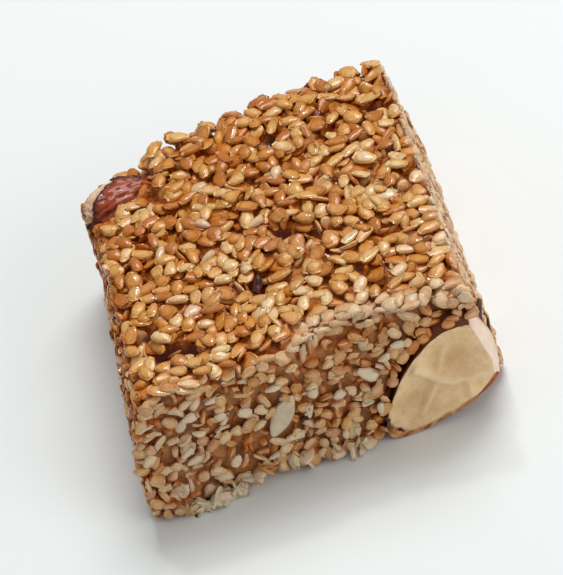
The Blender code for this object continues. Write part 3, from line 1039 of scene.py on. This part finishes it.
pocket = almondPocketShade(points[..., 0], points[..., 1], points[..., 2], tint["pocket"])
above = smoothStep((points[..., 2] - tint["pocketAbove"][0]) / tint["pocketAbove"][1])
# seeds above the almond get the painted shade of its hollow
deep = np.maximum(deep, pocket * above * (slant < -0.6))
seedPieces = []
for number, name in enumerate(pieceNames):
    chosen = group == number
    each = np.ones(points.shape[1])
    attributes = {"tone": tone[chosen, None] * each}
    attributes.update({"deep": deep[chosen], "cream": cream[chosen], "smear": smear[chosen]})
    sharp = 50.0 if name == "cutSeeds" else None
    seedPieces.append(seedPiece(name, points[chosen], attributes, sharp))
    print(name, int(chosen.sum()), "seeds")


# the caramel between the seeds
caramel = {
    "sink": 0.74,             # below the seeds' rough top
    "sideSink": 1.05,
    "filmRise": 0.25,         # where pale film fills the gaps
    "pocket": 0.75,           # how dark the painted shade round the almond makes it
    "groove": (0.18, 1.2),    # beside the almond: its reach in the almond's half size, its depth; the groove is also painted dark as shade
    "backSink": 1.1,
    "nutRoom": (1.03, 1.06, 1.05),  # its hollow for the almond: along, across and in, in half sizes
    "pitAt": 0.9,             # the crevice depth where its painted shade is all dark
    "frontPale": 0.80,        # its film on the front cut, and how strong all its film is
    "smear": 0.6,
    "columns": 110,
    "levels": 44,
    "edge": 1.2,
    "relief": 0.20,
}


def boxShell(columns, levels):
    # a closed box from -1 to 1 as six grids whose shared points are merged
    faces, points = [], []
    counts = (columns, columns, levels)
    total = 0
    for axis in range(3):
        first, second = (axis + 1) % 3, (axis + 2) % 3
        a = np.linspace(-1.0, 1.0, counts[first])
        b = np.linspace(-1.0, 1.0, counts[second])
        b, a = np.meshgrid(b, a, indexing="ij")
        for side in (-1.0, 1.0):
            grid = np.zeros((a.size, 3))
            grid[:, first], grid[:, second], grid[:, axis] = a.ravel(), b.ravel(), side
            quads = gridFaces(counts[second], counts[first], False)
            faces.append((quads if side > 0 else quads[:, ::-1]) + total)
            points.append(grid)
            total += len(grid)
    points, faces = np.concatenate(points), np.concatenate(faces)
    key = np.round(points * 1e6).astype(np.int64)
    unique, index, back = np.unique(key, axis=0, return_index=True, return_inverse=True)
    return points[index], back.ravel()[faces]


def makeCaramel():
    points, quads = boxShell(caramel["columns"], caramel["levels"])
    size = np.array((slab["width"], slab["depth"], slab["height"])) / 2.0
    room = size - (caramel["sideSink"], (caramel["sideSink"] + caramel["backSink"]) / 2.0, 0.0)
    points = points * room
    points[:, 1] -= (caramel["backSink"] - caramel["sideSink"]) / 2.0
    centre = np.array((0.0, -(caramel["backSink"] - caramel["sideSink"]) / 2.0, 0.0))
    core = np.clip(points - centre, caramel["edge"] - room, room - caramel["edge"])
    away = points - centre - core
    reach = np.linalg.norm(away, axis=1, keepdims=True)
    points = centre + core + away * caramel["edge"] / np.maximum(reach, caramel["edge"])
    grain = valueNoise(points, 1.4, 5) * 0.6 + valueNoise(points, 0.7, 6) * 0.4
    away = points - centre - core
    normal = away / np.maximum(np.linalg.norm(away, axis=1, keepdims=True), 1e-6)
    points = points + normal * (grain * caramel["relief"])[:, None]
    u, v, level = points[:, 0], points[:, 1], points[:, 2] / slab["height"] + 0.5

    def topOf(x, y):
        rough = sampled(smooth, line, x, y) - slab["height"] - crownHeight(x, y)
        return slab["height"] + crownHeight(x, y) - caramel["sink"] + np.clip(rough, -1.2, 0.5)

    x, y, z = fromBox(u, v, level, topOf)
    # under the slanting edge, and back from the almond: points inside the grown nut move out of it
    points = np.column_stack((x, y, z))
    slant = np.maximum(bevelOutside(points, outsideOf(points)) + caramel["sideSink"], 0.0)
    turn = np.radians(cuts["bevelTurn"])
    x, y, z = (points + slant[:, None] * np.array((0.0, np.cos(turn), -np.sin(turn)))).T
    along, across, inside = almondLocal(x, y, z)
    room = caramel["nutRoom"]
    bulge = 1.0 - (along / room[0]) ** 2 - (across / room[1]) ** 2
    back = cutFaceY(z) + almond["halfThickness"] * room[2] * np.sqrt(np.maximum(bulge, 0.0))
    y = np.where(bulge > 0.0, np.maximum(y, back), y)
    groove = hump(np.hypot(along, across), 1.0, caramel["groove"][0]) * (y < -22.0)
    y = y + caramel["groove"][1] * groove
    points = np.column_stack((x, y, z))
    out = outsideOf(points)
    pale = filmOn(points, {"front": out["front"] + 0.8, "right": out["right"] + 0.6, "top": out["top"] + 0.7})
    rise = caramel["filmRise"] * pale * (1.0 - np.clip(2.0 * groove, 0.0, 1.0))
    y = y - rise * smoothStep((out["front"] + 2.0) / 1.0)
    z = z + rise * smoothStep((out["top"] + 2.0) / 1.0) * (z > 15.0)
    beyond, normal = beyondAlmondEnd(np.column_stack((x, y, z)))
    gap, below, before = almond["clearOfCaramel"]
    past = np.where((z < below) & (y < before), np.maximum(beyond + gap, 0.0), 0.0)
    x = x - past * normal[0]
    z = np.maximum(z, 0.02)
    # painted shade: the caramel is darker in the crevices, in the groove beside the almond and round the
    # almond
    pit = crownHeight(x, y, False) - crownHeight(x, y)
    pit = np.clip(pit / caramel["pitAt"], 0.0, 1.0) * (z > 14.0)
    pit = np.max((pit, groove, almondPocketShade(x, y, z, caramel["pocket"])), axis=0)
    pale = np.maximum(pale, caramel["frontPale"] * smoothStep((out["front"] + 2.2) / 0.8))
    attributes = {"smear": caramel["smear"] * pale, "pit": pit}
    return makeMesh("caramel", np.column_stack((x, y, z)), quads, None, attributes)


core = makeCaramel()
print("caramel:", len(core.data.polygons), "quads")


# the nuts, over their solids
def ridge(a, b, first, last, reach):
    # how near a point is to the line between two others, 1 on it
    first, last = np.array(first), np.array(last)
    along = last - first
    t = np.clip(((a - first[0]) * along[0] + (b - first[1]) * along[1]) / (along @ along), 0.0, 1.0)
    away = np.hypot(a - first[0] - t * along[0], b - first[1] - t * along[1])
    return np.exp(-((away / reach) ** 2))


almondDetail = {
    "ridge": (                # the long crease, in the almond's half length and half width
        (-0.02, 0.84), (0.01, 0.52), (0.03, 0.15), (0.10, -0.15), (0.26, -0.36), (0.43, -0.50), (0.55, -0.69),
    ),
    "arms": (((0.03, 0.15), (0.40, 0.50)), ((0.03, 0.15), (-0.50, -0.22)), ((0.26, -0.36), (0.10, -0.78))),
    "ridgeReach": 0.08,
    "armReach": 0.07,
    "creaseHeight": 0.80,
    "hollow": 1.05,           # how far the face sinks beside the crease
    "grain": 0.06,
    "skin": (0.03, 0.11),     # width of the brown skin at the edge: above, and below
    "tipSkin": 0.16,
    "endSkin": 0.30,
}


def makeAlmond():
    shape, quads, triangles, chart = ball(almond["rows"], almond["around"])
    end, side, depth = shape.T
    flat = depth < 0.0
    ragged = 1.0 + 0.018 * valueNoise(shape, 0.16, 3)
    along = almond["length"] / 2.0 * end
    across = almond["width"] / 2.0 * side * (1.0 + almond["taper"] * end) * ragged
    thicker = 1.0 + almond["backTaper"] * almond["taper"] * end
    thicker = thicker * (1.0 + almond["endThicker"] * almondCutEnd(end))
    inward = almond["halfThickness"] * np.maximum(depth, 0.0) * thicker
    x, z = backFrom(along, across, almond["centre"], almond["turn"])
    radius = np.hypot(end, side)
    creases = np.zeros(len(end))
    for first, last in zip(almondDetail["ridge"], almondDetail["ridge"][1:]):
        creases = np.maximum(creases, ridge(end, side, first, last, almondDetail["ridgeReach"]))
    for first, last in almondDetail["arms"]:
        creases = np.maximum(creases, 0.6 * ridge(end, side, first, last, almondDetail["armReach"]))
    swell = np.clip((1.0 - radius) * 8.0, 0.0, 1.0)
    plane = np.column_stack((along, across, 0.0 * x))
    hollow = hump(end, 0.30, 0.30) * hump(side, 0.25, 0.45)
    hollow = hollow + 0.8 * hump(end, -0.40, 0.28) * hump(side, 0.25, 0.4)
    relief = almondDetail["creaseHeight"] * creases + almondDetail["grain"] * valueNoise(plane, 0.9, 8)
    relief = relief + 0.12 * valueNoise(plane, 3.6, 9) - almondDetail["hollow"] * hollow
    relief = relief - 0.12 * (1.0 - swell)
    y = cutFaceY(z) + inward - almond["proud"] - np.where(flat, relief * swell - 0.05, 0.0)
    points = np.column_stack((x, y, z))
    points[:, 2] += almondLift(end, side, depth) * ~flat
    # the cut end: what lies beyond its plane slides back along the nut
    angle = np.radians(almond["turn"])
    axis = np.array((np.cos(angle), 0.0, np.sin(angle)))
    beyond, normal = beyondAlmondEnd(points)
    beyond = beyond + 0.10 * valueNoise(points, 1.6, 12)
    cut = beyond > 0.0
    points = points - axis * (np.maximum(beyond, 0.0) / (axis @ normal))[:, None]
    points[:, 2] = np.maximum(points[:, 2], 0.02)
    # brown skin: along the face's edge, wide below and at the tip, and round the cut end behind the face
    skin = almondDetail["skin"]
    tan = smoothStep((0.25 - end) / 0.5)
    wide = skin[0] + (skin[1] - skin[0]) * smoothStep(0.5 - 2.0 * side) * (0.55 + 0.75 * tan)
    wide = wide + almondDetail["tipSkin"] * smoothStep((-0.72 - end) / 0.2)
    edge = np.where(flat, radius, 1.0) + 0.035 * valueNoise(shape, 0.10, 14)
    edge = np.clip((edge - 1.0 + wide) / (0.02 + 0.06 * tan), 0.0, 1.0)
    endWide = almondDetail["endSkin"] * (1.0 + 0.8 * valueNoise(shape, 0.13, 15))
    endEdge = np.clip(1.0 - beyond / endWide, 0.0, 1.0)
    attributes = {
        "flesh": flat & ~cut,
        "endFace": cut,
        # where the raised creases are painted lighter: painted light
        "crease": creases * flat,
        "shade": hollow * flat,
        "edge": np.where(cut, endEdge * ~flat, edge),
        "tan": tan * flat,
        # upper marks the skin above the face, which gets painted shadow
        "upper": smoothStep(side / 0.3),
    }
    return makeMesh("almond", points, quads, triangles, attributes, {"OFBake": chart}, 38.0)


def makeNut():
    shape, quads, triangles, chart = ball(nut["rows"], nut["around"])
    end, side, up = shape.T
    # wrinkles run along the nut: noise stretched that way, folded into ridges
    grain = valueNoise(np.column_stack((end * 2.2, side * 6.0, up * 6.0)), 1.0, 21)
    fine = valueNoise(np.column_stack((end * 5.0, side * 14.0, up * 14.0)), 1.0, 22)
    wrinkle = (1.0 - 2.0 * np.abs(grain)) * 0.08 + (1.0 - 2.0 * np.abs(fine)) * 0.04
    torn = valueNoise(shape, 0.45, 23) * 0.30 - end * 0.72 + side * 0.72
    lip = hump(torn, 0.50, 0.10)
    torn = smoothStep((torn - 0.52) / 0.10)
    bumps = 0.05 * valueNoise(shape, 0.16, 24) + 0.03 * valueNoise(shape, 0.08, 25)
    scale = 1.0 + (wrinkle - 0.04) * (1.0 - torn) + 0.03 * lip - 0.04 * torn + torn * bumps
    narrow = 1.0 - nut["narrowing"] * end
    along = nut["size"][0] / 2.0 * end * scale
    across = nut["size"][1] / 2.0 * side * narrow * scale
    rise = nut["size"][2] / 2.0 * up * narrow * scale
    rise = rise - along * np.sin(np.radians(nut["tip"])) + nut["roll"] * across
    x, y = backFrom(along, across, nut["centre"][:2], nut["turn"])
    points = np.column_stack((x, y, nut["centre"][2] + rise))
    attributes = {"torn": torn, "wrinkle": wrinkle / 0.075, "lip": lip * (1.0 - torn)}
    return makeMesh("skinnedNut", points, quads, triangles, attributes, {"OFBake": chart})


def makeSliver():
    shape, quads, triangles, chart = ball(sliver["rows"], sliver["around"])
    end, side, depth = shape.T
    flat = depth < 0.0
    along = sliver["size"][0] / 2.0 * end
    across = sliver["size"][1] / 2.0 * side * (1.0 - sliver["pointed"] * end ** 2)
    across = across * (1.0 + 0.07 * valueNoise(shape, 0.3, 41))
    x, z = backFrom(along, across, sliver["centre"][::2], sliver["turn"])
    out = sliver["swell"] * np.sqrt(np.maximum(1.0 - end ** 2 - side ** 2, 0.0))
    out = np.where(flat, out + 0.05 * valueNoise(shape, 0.2, 42), 0.0)
    y = cutFaceY(z) + 0.05 - out + sliver["size"][2] / 2.0 * np.maximum(depth, 0.0)
    points = np.column_stack((x, y, z))
    return makeMesh("frontSliver", points, quads, triangles, {"edge": np.abs(side)}, {"OFBake": chart})


# dark bits of nut skin: middle, length, width and thickness, turn, tilt and roll in degrees
darkBits = (
    # the first lies in the crevice on the top, and its dark also stands in for the crevice's shade: partly
    # painted shade
    ((-3.8, -9.4, 22.6), (3.1, 1.4, 0.9), 72.0, 14.0, 0.0),
    ((-19.4, 26.4, 19.2), (5.6, 1.5, 0.8), -22.0, 4.0, 40.0),
    ((26.35, -21.3, 15.2), (3.0, 1.3, 0.6), 70.0, 35.0, 70.0),
    ((26.75, -21.9, 10.9), (3.8, 0.8, 0.5), 80.0, 55.0, 80.0),
    ((8.3, -26.2, 4.0), (1.9, 1.0, 0.7), 20.0, -60.0, 85.0),
    ((9.9, -26.5, 1.4), (1.8, 1.0, 0.6), 0.0, -15.0, 80.0),
    ((-3.4, -25.7, 9.2), (1.3, 1.0, 0.8), 0.0, 0.0, 70.0),
)


def makeDarkBits():
    shape, quads, triangles, chart = ball(22, 24)
    points = []
    for number, (middle, size, turn, tilt, roll) in enumerate(darkBits):
        crumple = 1.0 + 0.28 * valueNoise(shape, 0.55, 51 + number)
        crumple = crumple + 0.10 * valueNoise(shape, 0.22, 71 + number)
        local = shape * crumple[:, None] * np.array(size) / 2.0
        local[:, 2] += 0.35 * (shape[:, 0] ** 2 - 0.4) * size[2]
        cr, sr = np.cos(np.radians(roll)), np.sin(np.radians(roll))
        local = local @ np.array(((1.0, 0.0, 0.0), (0.0, cr, sr), (0.0, -sr, cr)))
        axes = turned(*(np.radians(np.array((value,))) for value in (0.0, -tilt, turn)))[0]
        points.append(local @ axes.T + middle)
    count, each = len(darkBits), len(shape)
    step = (np.arange(count) * each)[:, None, None]
    split = quads.size
    packed = [
        np.concatenate([(part + (number, 0.0)) / (count, 1.0) for number in range(count)])
        for part in (chart[:split] * 0.9, chart[split:] * 0.9)
    ]
    return makeMesh(
        "darkSkinBits",
        np.concatenate(points),
        (quads[None] + step).reshape(-1, 4),
        (triangles[None] + step).reshape(-1, 3),
        {key: np.zeros(count * each) for key in ("torn", "wrinkle", "lip")},
        {"OFBake": np.concatenate(packed)},
    )


# finishes
def newMaterial(name):
    material = bpy.data.materials.new(name)
    material.use_nodes = True
    return material, material.node_tree, material.node_tree.nodes["Principled BSDF"]


def linear(colour):
    # light from a colour of 0 to 255: a straight line near black, a power of 2.4 above it
    c = np.array(colour) / 255.0
    return tuple(np.where(c <= 0.04045, c / 12.92, ((c + 0.055) / 1.055) ** 2.4)) + (1.0,)


def setSockets(node, values):
    for socket, value in values.items():
        node.inputs[socket].default_value = value


def mathNode(tree, kind, first, second=0.0, clamp=False):
    node = tree.nodes.new("ShaderNodeMath")
    node.operation = kind
    node.use_clamp = clamp
    for socket, value in zip(node.inputs, (first, second)):
        if isinstance(value, float):
            socket.default_value = value
        else:
            tree.links.new(value, socket)
    return node.outputs[0]


def partOf(tree, name, share=None):
    # one of a piece's own values, or a share of it
    node = tree.nodes.new("ShaderNodeAttribute")
    node.attribute_name = name
    whole = node.outputs["Fac"]
    return mathNode(tree, "MULTIPLY", whole, share) if share else whole


def noiseNode(tree, scale, detail=3.0, roughness=0.55):
    where = tree.nodes.new("ShaderNodeTexCoord")
    node = tree.nodes.new("ShaderNodeTexNoise")
    setSockets(node, {"Scale": scale, "Detail": detail, "Roughness": roughness})
    tree.links.new(where.outputs["Object"], node.inputs["Vector"])
    return node.outputs["Fac"]


def rampNode(tree, source, stops):
    # a stop is a place and a colour, or a place and a grey
    node = tree.nodes.new("ShaderNodeValToRGB")
    band = node.color_ramp
    while len(band.elements) < len(stops):
        band.elements.new(0.5)
    for element, (place, colour) in zip(band.elements, stops):
        element.position = place
        element.color = linear(colour) if len(colour) == 3 else (colour[0],) * 3 + (1.0,)
    tree.links.new(source, node.inputs["Fac"])
    return node.outputs["Color"]


def mixNode(tree, factor, first, second):
    node = tree.nodes.new("ShaderNodeMix")
    node.data_type = "RGBA"
    tree.links.new(factor, node.inputs["Factor"])
    for socket, value in ((node.inputs[6], first), (node.inputs[7], second)):
        if isinstance(value, tuple):
            socket.default_value = linear(value)
        else:
            tree.links.new(value, socket)
    return node.outputs[2]


def finish(tree, shader, colour, height, spec):
    # the colour and the relief go to the shader, with its plain values
    bump = tree.nodes.new("ShaderNodeBump")
    bump.inputs["Distance"].default_value = spec["relief"]
    tree.links.new(height, bump.inputs["Height"])
    tree.links.new(bump.outputs["Normal"], shader.inputs["Normal"])
    tree.links.new(colour, shader.inputs["Base Color"])
    setSockets(shader, spec["sockets"])


seedFinish = {
    "tones": (
        (0.0, (182, 102, 22)), (0.3, (204, 134, 48)), (0.6, (218, 160, 84)),
        (0.85, (226, 180, 120)), (1.0, (236, 202, 156)),
    ),
    "mottle": 0.8,
    # deep in the gaps: the caramel's colour, darkened as painted shade
    "gapCaramelAndShadeColour": (208, 106, 18),
    "cream": (236, 210, 176),
    "smear": (220, 197, 166),
    "patches": ((0.35, (0.55,)), (0.6, (1.0,))),
    "rimShade": ((0.0, (0.58,)), (0.5, (0.52,)), (0.74, (0.18,)), (0.86, (0.70,)), (1.0, (0.02,))),
    "rimRelief": ((0.0, (0.60,)), (0.5, (0.56,)), (0.74, (0.40,)), (0.88, (0.78,)), (1.0, (0.6,))),
    "relief": 0.00020,
    "grain": 0.70,
    "roughness": (0.38, 0.68),
    "coat": ((0.38, (0.15,)), (0.60, (1.0,))),
    "sockets": {
        "Specular IOR Level": 0.16,
        "Coat Roughness": 0.08,
        "Subsurface Weight": 0.30,
        "Subsurface Radius": (1.0, 0.45, 0.2),
        "Subsurface Scale": 0.0008,
    },
}


def fromFaceMiddle(tree):
    # 0 at the middle of a seed's flat face, 1 along its edge: the root of 1 less the height squared,
    # where the height is the sine round the seed times the sine from end to end
    chart = tree.nodes.new("ShaderNodeUVMap")
    chart.uv_map = "seedMap"
    split = tree.nodes.new("ShaderNodeSeparateXYZ")
    tree.links.new(chart.outputs["UV"], split.inputs["Vector"])
    around = mathNode(tree, "SINE", mathNode(tree, "MULTIPLY", split.outputs["X"], 2.0 * np.pi))
    whole = mathNode(tree, "MULTIPLY", split.outputs["Y"], 2.0 * np.pi)
    drawn = mathNode(tree, "MULTIPLY", mathNode(tree, "SINE", whole), poleDraw)
    turn = mathNode(tree, "SUBTRACT", mathNode(tree, "MULTIPLY", whole, 0.5), drawn)
    height = mathNode(tree, "MULTIPLY", around, mathNode(tree, "SINE", turn))
    rest = mathNode(tree, "SUBTRACT", 1.0, mathNode(tree, "MULTIPLY", height, height), True)
    return mathNode(tree, "SQRT", rest)


def seedMaterial(name):
    material, tree, shader = newMaterial(name)
    rim = fromFaceMiddle(tree)
    mottle = mathNode(tree, "SUBTRACT", noiseNode(tree, 900.0), 0.5)
    mottle = mathNode(tree, "MULTIPLY", mottle, seedFinish["mottle"])
    tone = mathNode(tree, "ADD", partOf(tree, "tone"), mottle)
    shade = rampNode(tree, rim, seedFinish["rimShade"])
    tone = mathNode(tree, "ADD", tone, mathNode(tree, "SUBTRACT", shade, 0.5))
    colour = rampNode(tree, tone, seedFinish["tones"])
    colour = mixNode(tree, partOf(tree, "cream"), colour, seedFinish["cream"])
    patches = rampNode(tree, noiseNode(tree, 1100.0), seedFinish["patches"])
    smear = mathNode(tree, "MULTIPLY", partOf(tree, "smear"), patches)
    colour = mixNode(tree, smear, colour, seedFinish["smear"])
    # painted shade and the caramel's colour deep in the gaps
    colour = mixNode(tree, partOf(tree, "deep"), colour, seedFinish["gapCaramelAndShadeColour"])
    dull = tree.nodes.new("ShaderNodeMapRange")
    tree.links.new(smear, dull.inputs["Value"])
    dull.inputs["To Min"].default_value, dull.inputs["To Max"].default_value = seedFinish["roughness"]
    tree.links.new(dull.outputs["Result"], shader.inputs["Roughness"])
    grain = mathNode(tree, "MULTIPLY", noiseNode(tree, 1500.0), seedFinish["grain"])
    relief = mathNode(tree, "ADD", rampNode(tree, rim, seedFinish["rimRelief"]), grain)
    finish(tree, shader, colour, relief, seedFinish)
    # the glaze lies in patches, and none of it deep in the gaps
    glaze = rampNode(tree, noiseNode(tree, 420.0, 1.0), seedFinish["coat"])
    bare = mathNode(tree, "MAXIMUM", partOf(tree, "deep"), smear)
    glaze = mathNode(tree, "MULTIPLY", glaze, mathNode(tree, "SUBTRACT", 1.0, bare, True))
    tree.links.new(glaze, shader.inputs["Coat Weight"])
    return material


caramelFinish = {
    "tones": ((0.34, (118, 42, 4)), (0.5, (176, 82, 14)), (0.66, (214, 132, 54))),
    "smear": (184, 146, 98),
    # darker in the crevices: painted shade
    "pit": (98, 36, 5),
    "relief": 0.0009,
    "sockets": {"Roughness": 0.3, "Specular IOR Level": 0.12, "Coat Weight": 0.3, "Coat Roughness": 0.10},
}


def caramelMaterial():
    material, tree, shader = newMaterial("caramel")
    crumbs = noiseNode(tree, 620.0, 5.0)
    colour = rampNode(tree, crumbs, caramelFinish["tones"])
    for key in ("smear", "pit"):
        colour = mixNode(tree, partOf(tree, key), colour, caramelFinish[key])
    finish(tree, shader, colour, crumbs, caramelFinish)
    return material


almondFinish = {
    "flesh": ((0.3, (228, 188, 134)), (0.7, (255, 224, 178))),
    "shade": (204, 160, 106),
    # the raised creases, painted lighter: painted light
    "crease": (250, 224, 180),
    "cutEnd": ((0.3, (238, 208, 182)), (0.7, (250, 230, 208))),
    "skin": ((0.3, (118, 50, 20)), (0.5, (176, 92, 44)), (0.7, (212, 132, 76))),
    "lowerSkin": ((0.35, (150, 78, 30)), (0.5, (206, 146, 88)), (0.65, (232, 184, 130))),
    # the skin above the face: its own brown, darkened with painted shadow along the almond's upper edge
    "upperSkinAndShadow": (84, 34, 12),
    "relief": 0.00022,
    "sockets": {
        "Roughness": 0.5,
        "Specular IOR Level": 0.3,
        "Subsurface Weight": 0.15,
        "Subsurface Radius": (1.0, 0.6, 0.35),
        "Subsurface Scale": 0.0015,
    },
}


def almondMaterial():
    material, tree, shader = newMaterial("almondCut")
    streaks = noiseNode(tree, 420.0, 6.0, 0.65)
    flesh = rampNode(tree, streaks, almondFinish["flesh"])
    flesh = mixNode(tree, partOf(tree, "shade", 0.6), flesh, almondFinish["shade"])
    # painted light on the raised creases
    flesh = mixNode(tree, partOf(tree, "crease", 0.55), flesh, almondFinish["crease"])
    cutEnd = rampNode(tree, streaks, almondFinish["cutEnd"])
    skin = rampNode(tree, noiseNode(tree, 520.0, 4.0), almondFinish["skin"])
    lower = rampNode(tree, noiseNode(tree, 1100.0, 4.0), almondFinish["lowerSkin"])
    skin = mixNode(tree, partOf(tree, "tan", 0.85), skin, lower)
    # painted shadow along the upper edge, over the skin's own brown
    skin = mixNode(tree, partOf(tree, "upper", 0.85), skin, almondFinish["upperSkinAndShadow"])
    colour = mixNode(tree, partOf(tree, "flesh"), skin, flesh)
    colour = mixNode(tree, partOf(tree, "endFace"), colour, cutEnd)
    colour = mixNode(tree, partOf(tree, "edge"), colour, skin)
    finish(tree, shader, colour, noiseNode(tree, 1100.0, 5.0), almondFinish)
    return material


skinFinish = {
    "flesh": ((0.3, (206, 160, 126)), (0.7, (232, 200, 170))),
    "lip": (70, 28, 16),
    "relief": 0.00012,
    "sockets": {"Roughness": 0.4, "Specular IOR Level": 0.15, "Coat Weight": 0.45, "Coat Roughness": 0.07},
}


def skinMaterial(name, dark, light):
    material, tree, shader = newMaterial(name)
    veins = noiseNode(tree, 800.0, 4.0)
    wrinkled = mathNode(tree, "ADD", veins, partOf(tree, "wrinkle", 0.25))
    skin = rampNode(tree, wrinkled, ((0.3, dark), (0.75, light)))
    flesh = rampNode(tree, veins, skinFinish["flesh"])
    skin = mixNode(tree, partOf(tree, "lip"), skin, skinFinish["lip"])
    colour = mixNode(tree, partOf(tree, "torn"), skin, flesh)
    finish(tree, shader, colour, noiseNode(tree, 1700.0, 4.0), skinFinish)
    return material


paleNutFinish = {
    "tones": ((0.3, (198, 180, 148)), (0.7, (222, 206, 178))),
    "edge": (196, 150, 104),
    "relief": 0.00010,
    "sockets": {"Roughness": 0.45},
}


def paleNutMaterial():
    material, tree, shader = newMaterial("paleNut")
    colour = rampNode(tree, noiseNode(tree, 700.0, 4.0), paleNutFinish["tones"])
    colour = mixNode(tree, partOf(tree, "edge", 0.35), colour, paleNutFinish["edge"])
    finish(tree, shader, colour, noiseNode(tree, 1800.0, 4.0), paleNutFinish)
    return material


seedGloss = seedMaterial("glazedSesame")
pieces = (
    (makeAlmond(), almondMaterial(), "corner_almond", "almond_flesh"),
    (makeNut(), skinMaterial("nutSkin", (98, 26, 8), (160, 68, 30)), "skinned_nut", "nut_skin"),
    (makeSliver(), paleNutMaterial(), "front_sliver", "pale_nut"),
    (makeDarkBits(), skinMaterial("darkSkin", (48, 14, 10), (98, 40, 22)), None, "nut_skin"),
)
for item, material, node, slot in pieces:
    item.data.materials.append(material)
    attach(item, "root")
    if node:
        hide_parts(node)
print("nuts and skin:", len(pieces))

for item in seedPieces:
    item.data.materials.append(seedGloss)
    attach(item, "root")
core.data.materials.append(caramelMaterial())
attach(core, "root")
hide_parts("slab")


# floor, light and camera
studio = {
    "floor": (237, 241, 240),
    "world": 0.33,
    "key": {"energy": 13.3, "size": 0.8, "place": (0.44, 0.68, 1.15)},
    "glint": {"energy": 2.6, "size": 0.12, "place": (0.05, 0.85, 1.25)},
    "side": {"energy": 3.9, "size": 0.7, "place": (0.85, -0.68, 0.60)},
}
camera = {
    "target": (0.0, -1.0, 11.0),
    "azimuth": 3.56,
    "elevation": 43.55,
    "distance": 548.2,
    "roll": 21.1,
    "lens": 225.0,
}


def makeFloor():
    size = 1.5
    corners = np.array(((-size, -size, 0.0), (size, -size, 0.0), (size, size, 0.0), (-size, size, 0.0)))
    corners = corners / millimetre - (slab["frameShift"][0], slab["frameShift"][1], 0.02)
    floor = makeMesh("floor", corners, np.array(((0, 1, 2, 3),)))
    material, tree, shader = newMaterial("whiteTable")
    colour = {"Base Color": linear(studio["floor"])}
    setSockets(shader, {**colour, "Roughness": 0.6, "Specular IOR Level": 0.3})
    floor.data.materials.append(material)


def makeLight(name, spec):
    light = bpy.data.lights.new(name, "AREA")
    light.energy = spec["energy"]
    light.size = spec["size"]
    item = bpy.data.objects.new(name, light)
    item.location = spec["place"]
    away = Vector(spec["place"]) - Vector((0.0, 0.0, 0.01))
    item.rotation_euler = away.to_track_quat("Z", "Y").to_euler()
    bpy.context.scene.collection.objects.link(item)


def makeCamera():
    data = bpy.data.cameras.new("camera")
    data.lens = camera["lens"]
    data.sensor_width = 36.0
    item = bpy.data.objects.new("camera", data)
    az, el = np.radians(camera["azimuth"]), np.radians(camera["elevation"])
    away = Vector((np.sin(az) * np.cos(el), -np.cos(az) * np.cos(el), np.sin(el)))
    item.location = (Vector(camera["target"]) + away * camera["distance"]) * millimetre
    facing = away.to_track_quat("Z", "Y")
    item.rotation_euler = (facing @ Quaternion((0.0, 0.0, 1.0), -np.radians(camera["roll"]))).to_euler()
    bpy.context.scene.collection.objects.link(item)
    bpy.context.scene.camera = item


makeFloor()
for name in ("key", "glint", "side"):
    makeLight(name, studio[name])
world = bpy.data.worlds.new("studio")
world.use_nodes = True
world.node_tree.nodes["Background"].inputs["Color"].default_value = (1.0, 1.0, 1.0, 1.0)
world.node_tree.nodes["Background"].inputs["Strength"].default_value = studio["world"]
bpy.context.scene.world = world
bpy.context.scene.view_settings.view_transform = "Standard"
makeCamera()
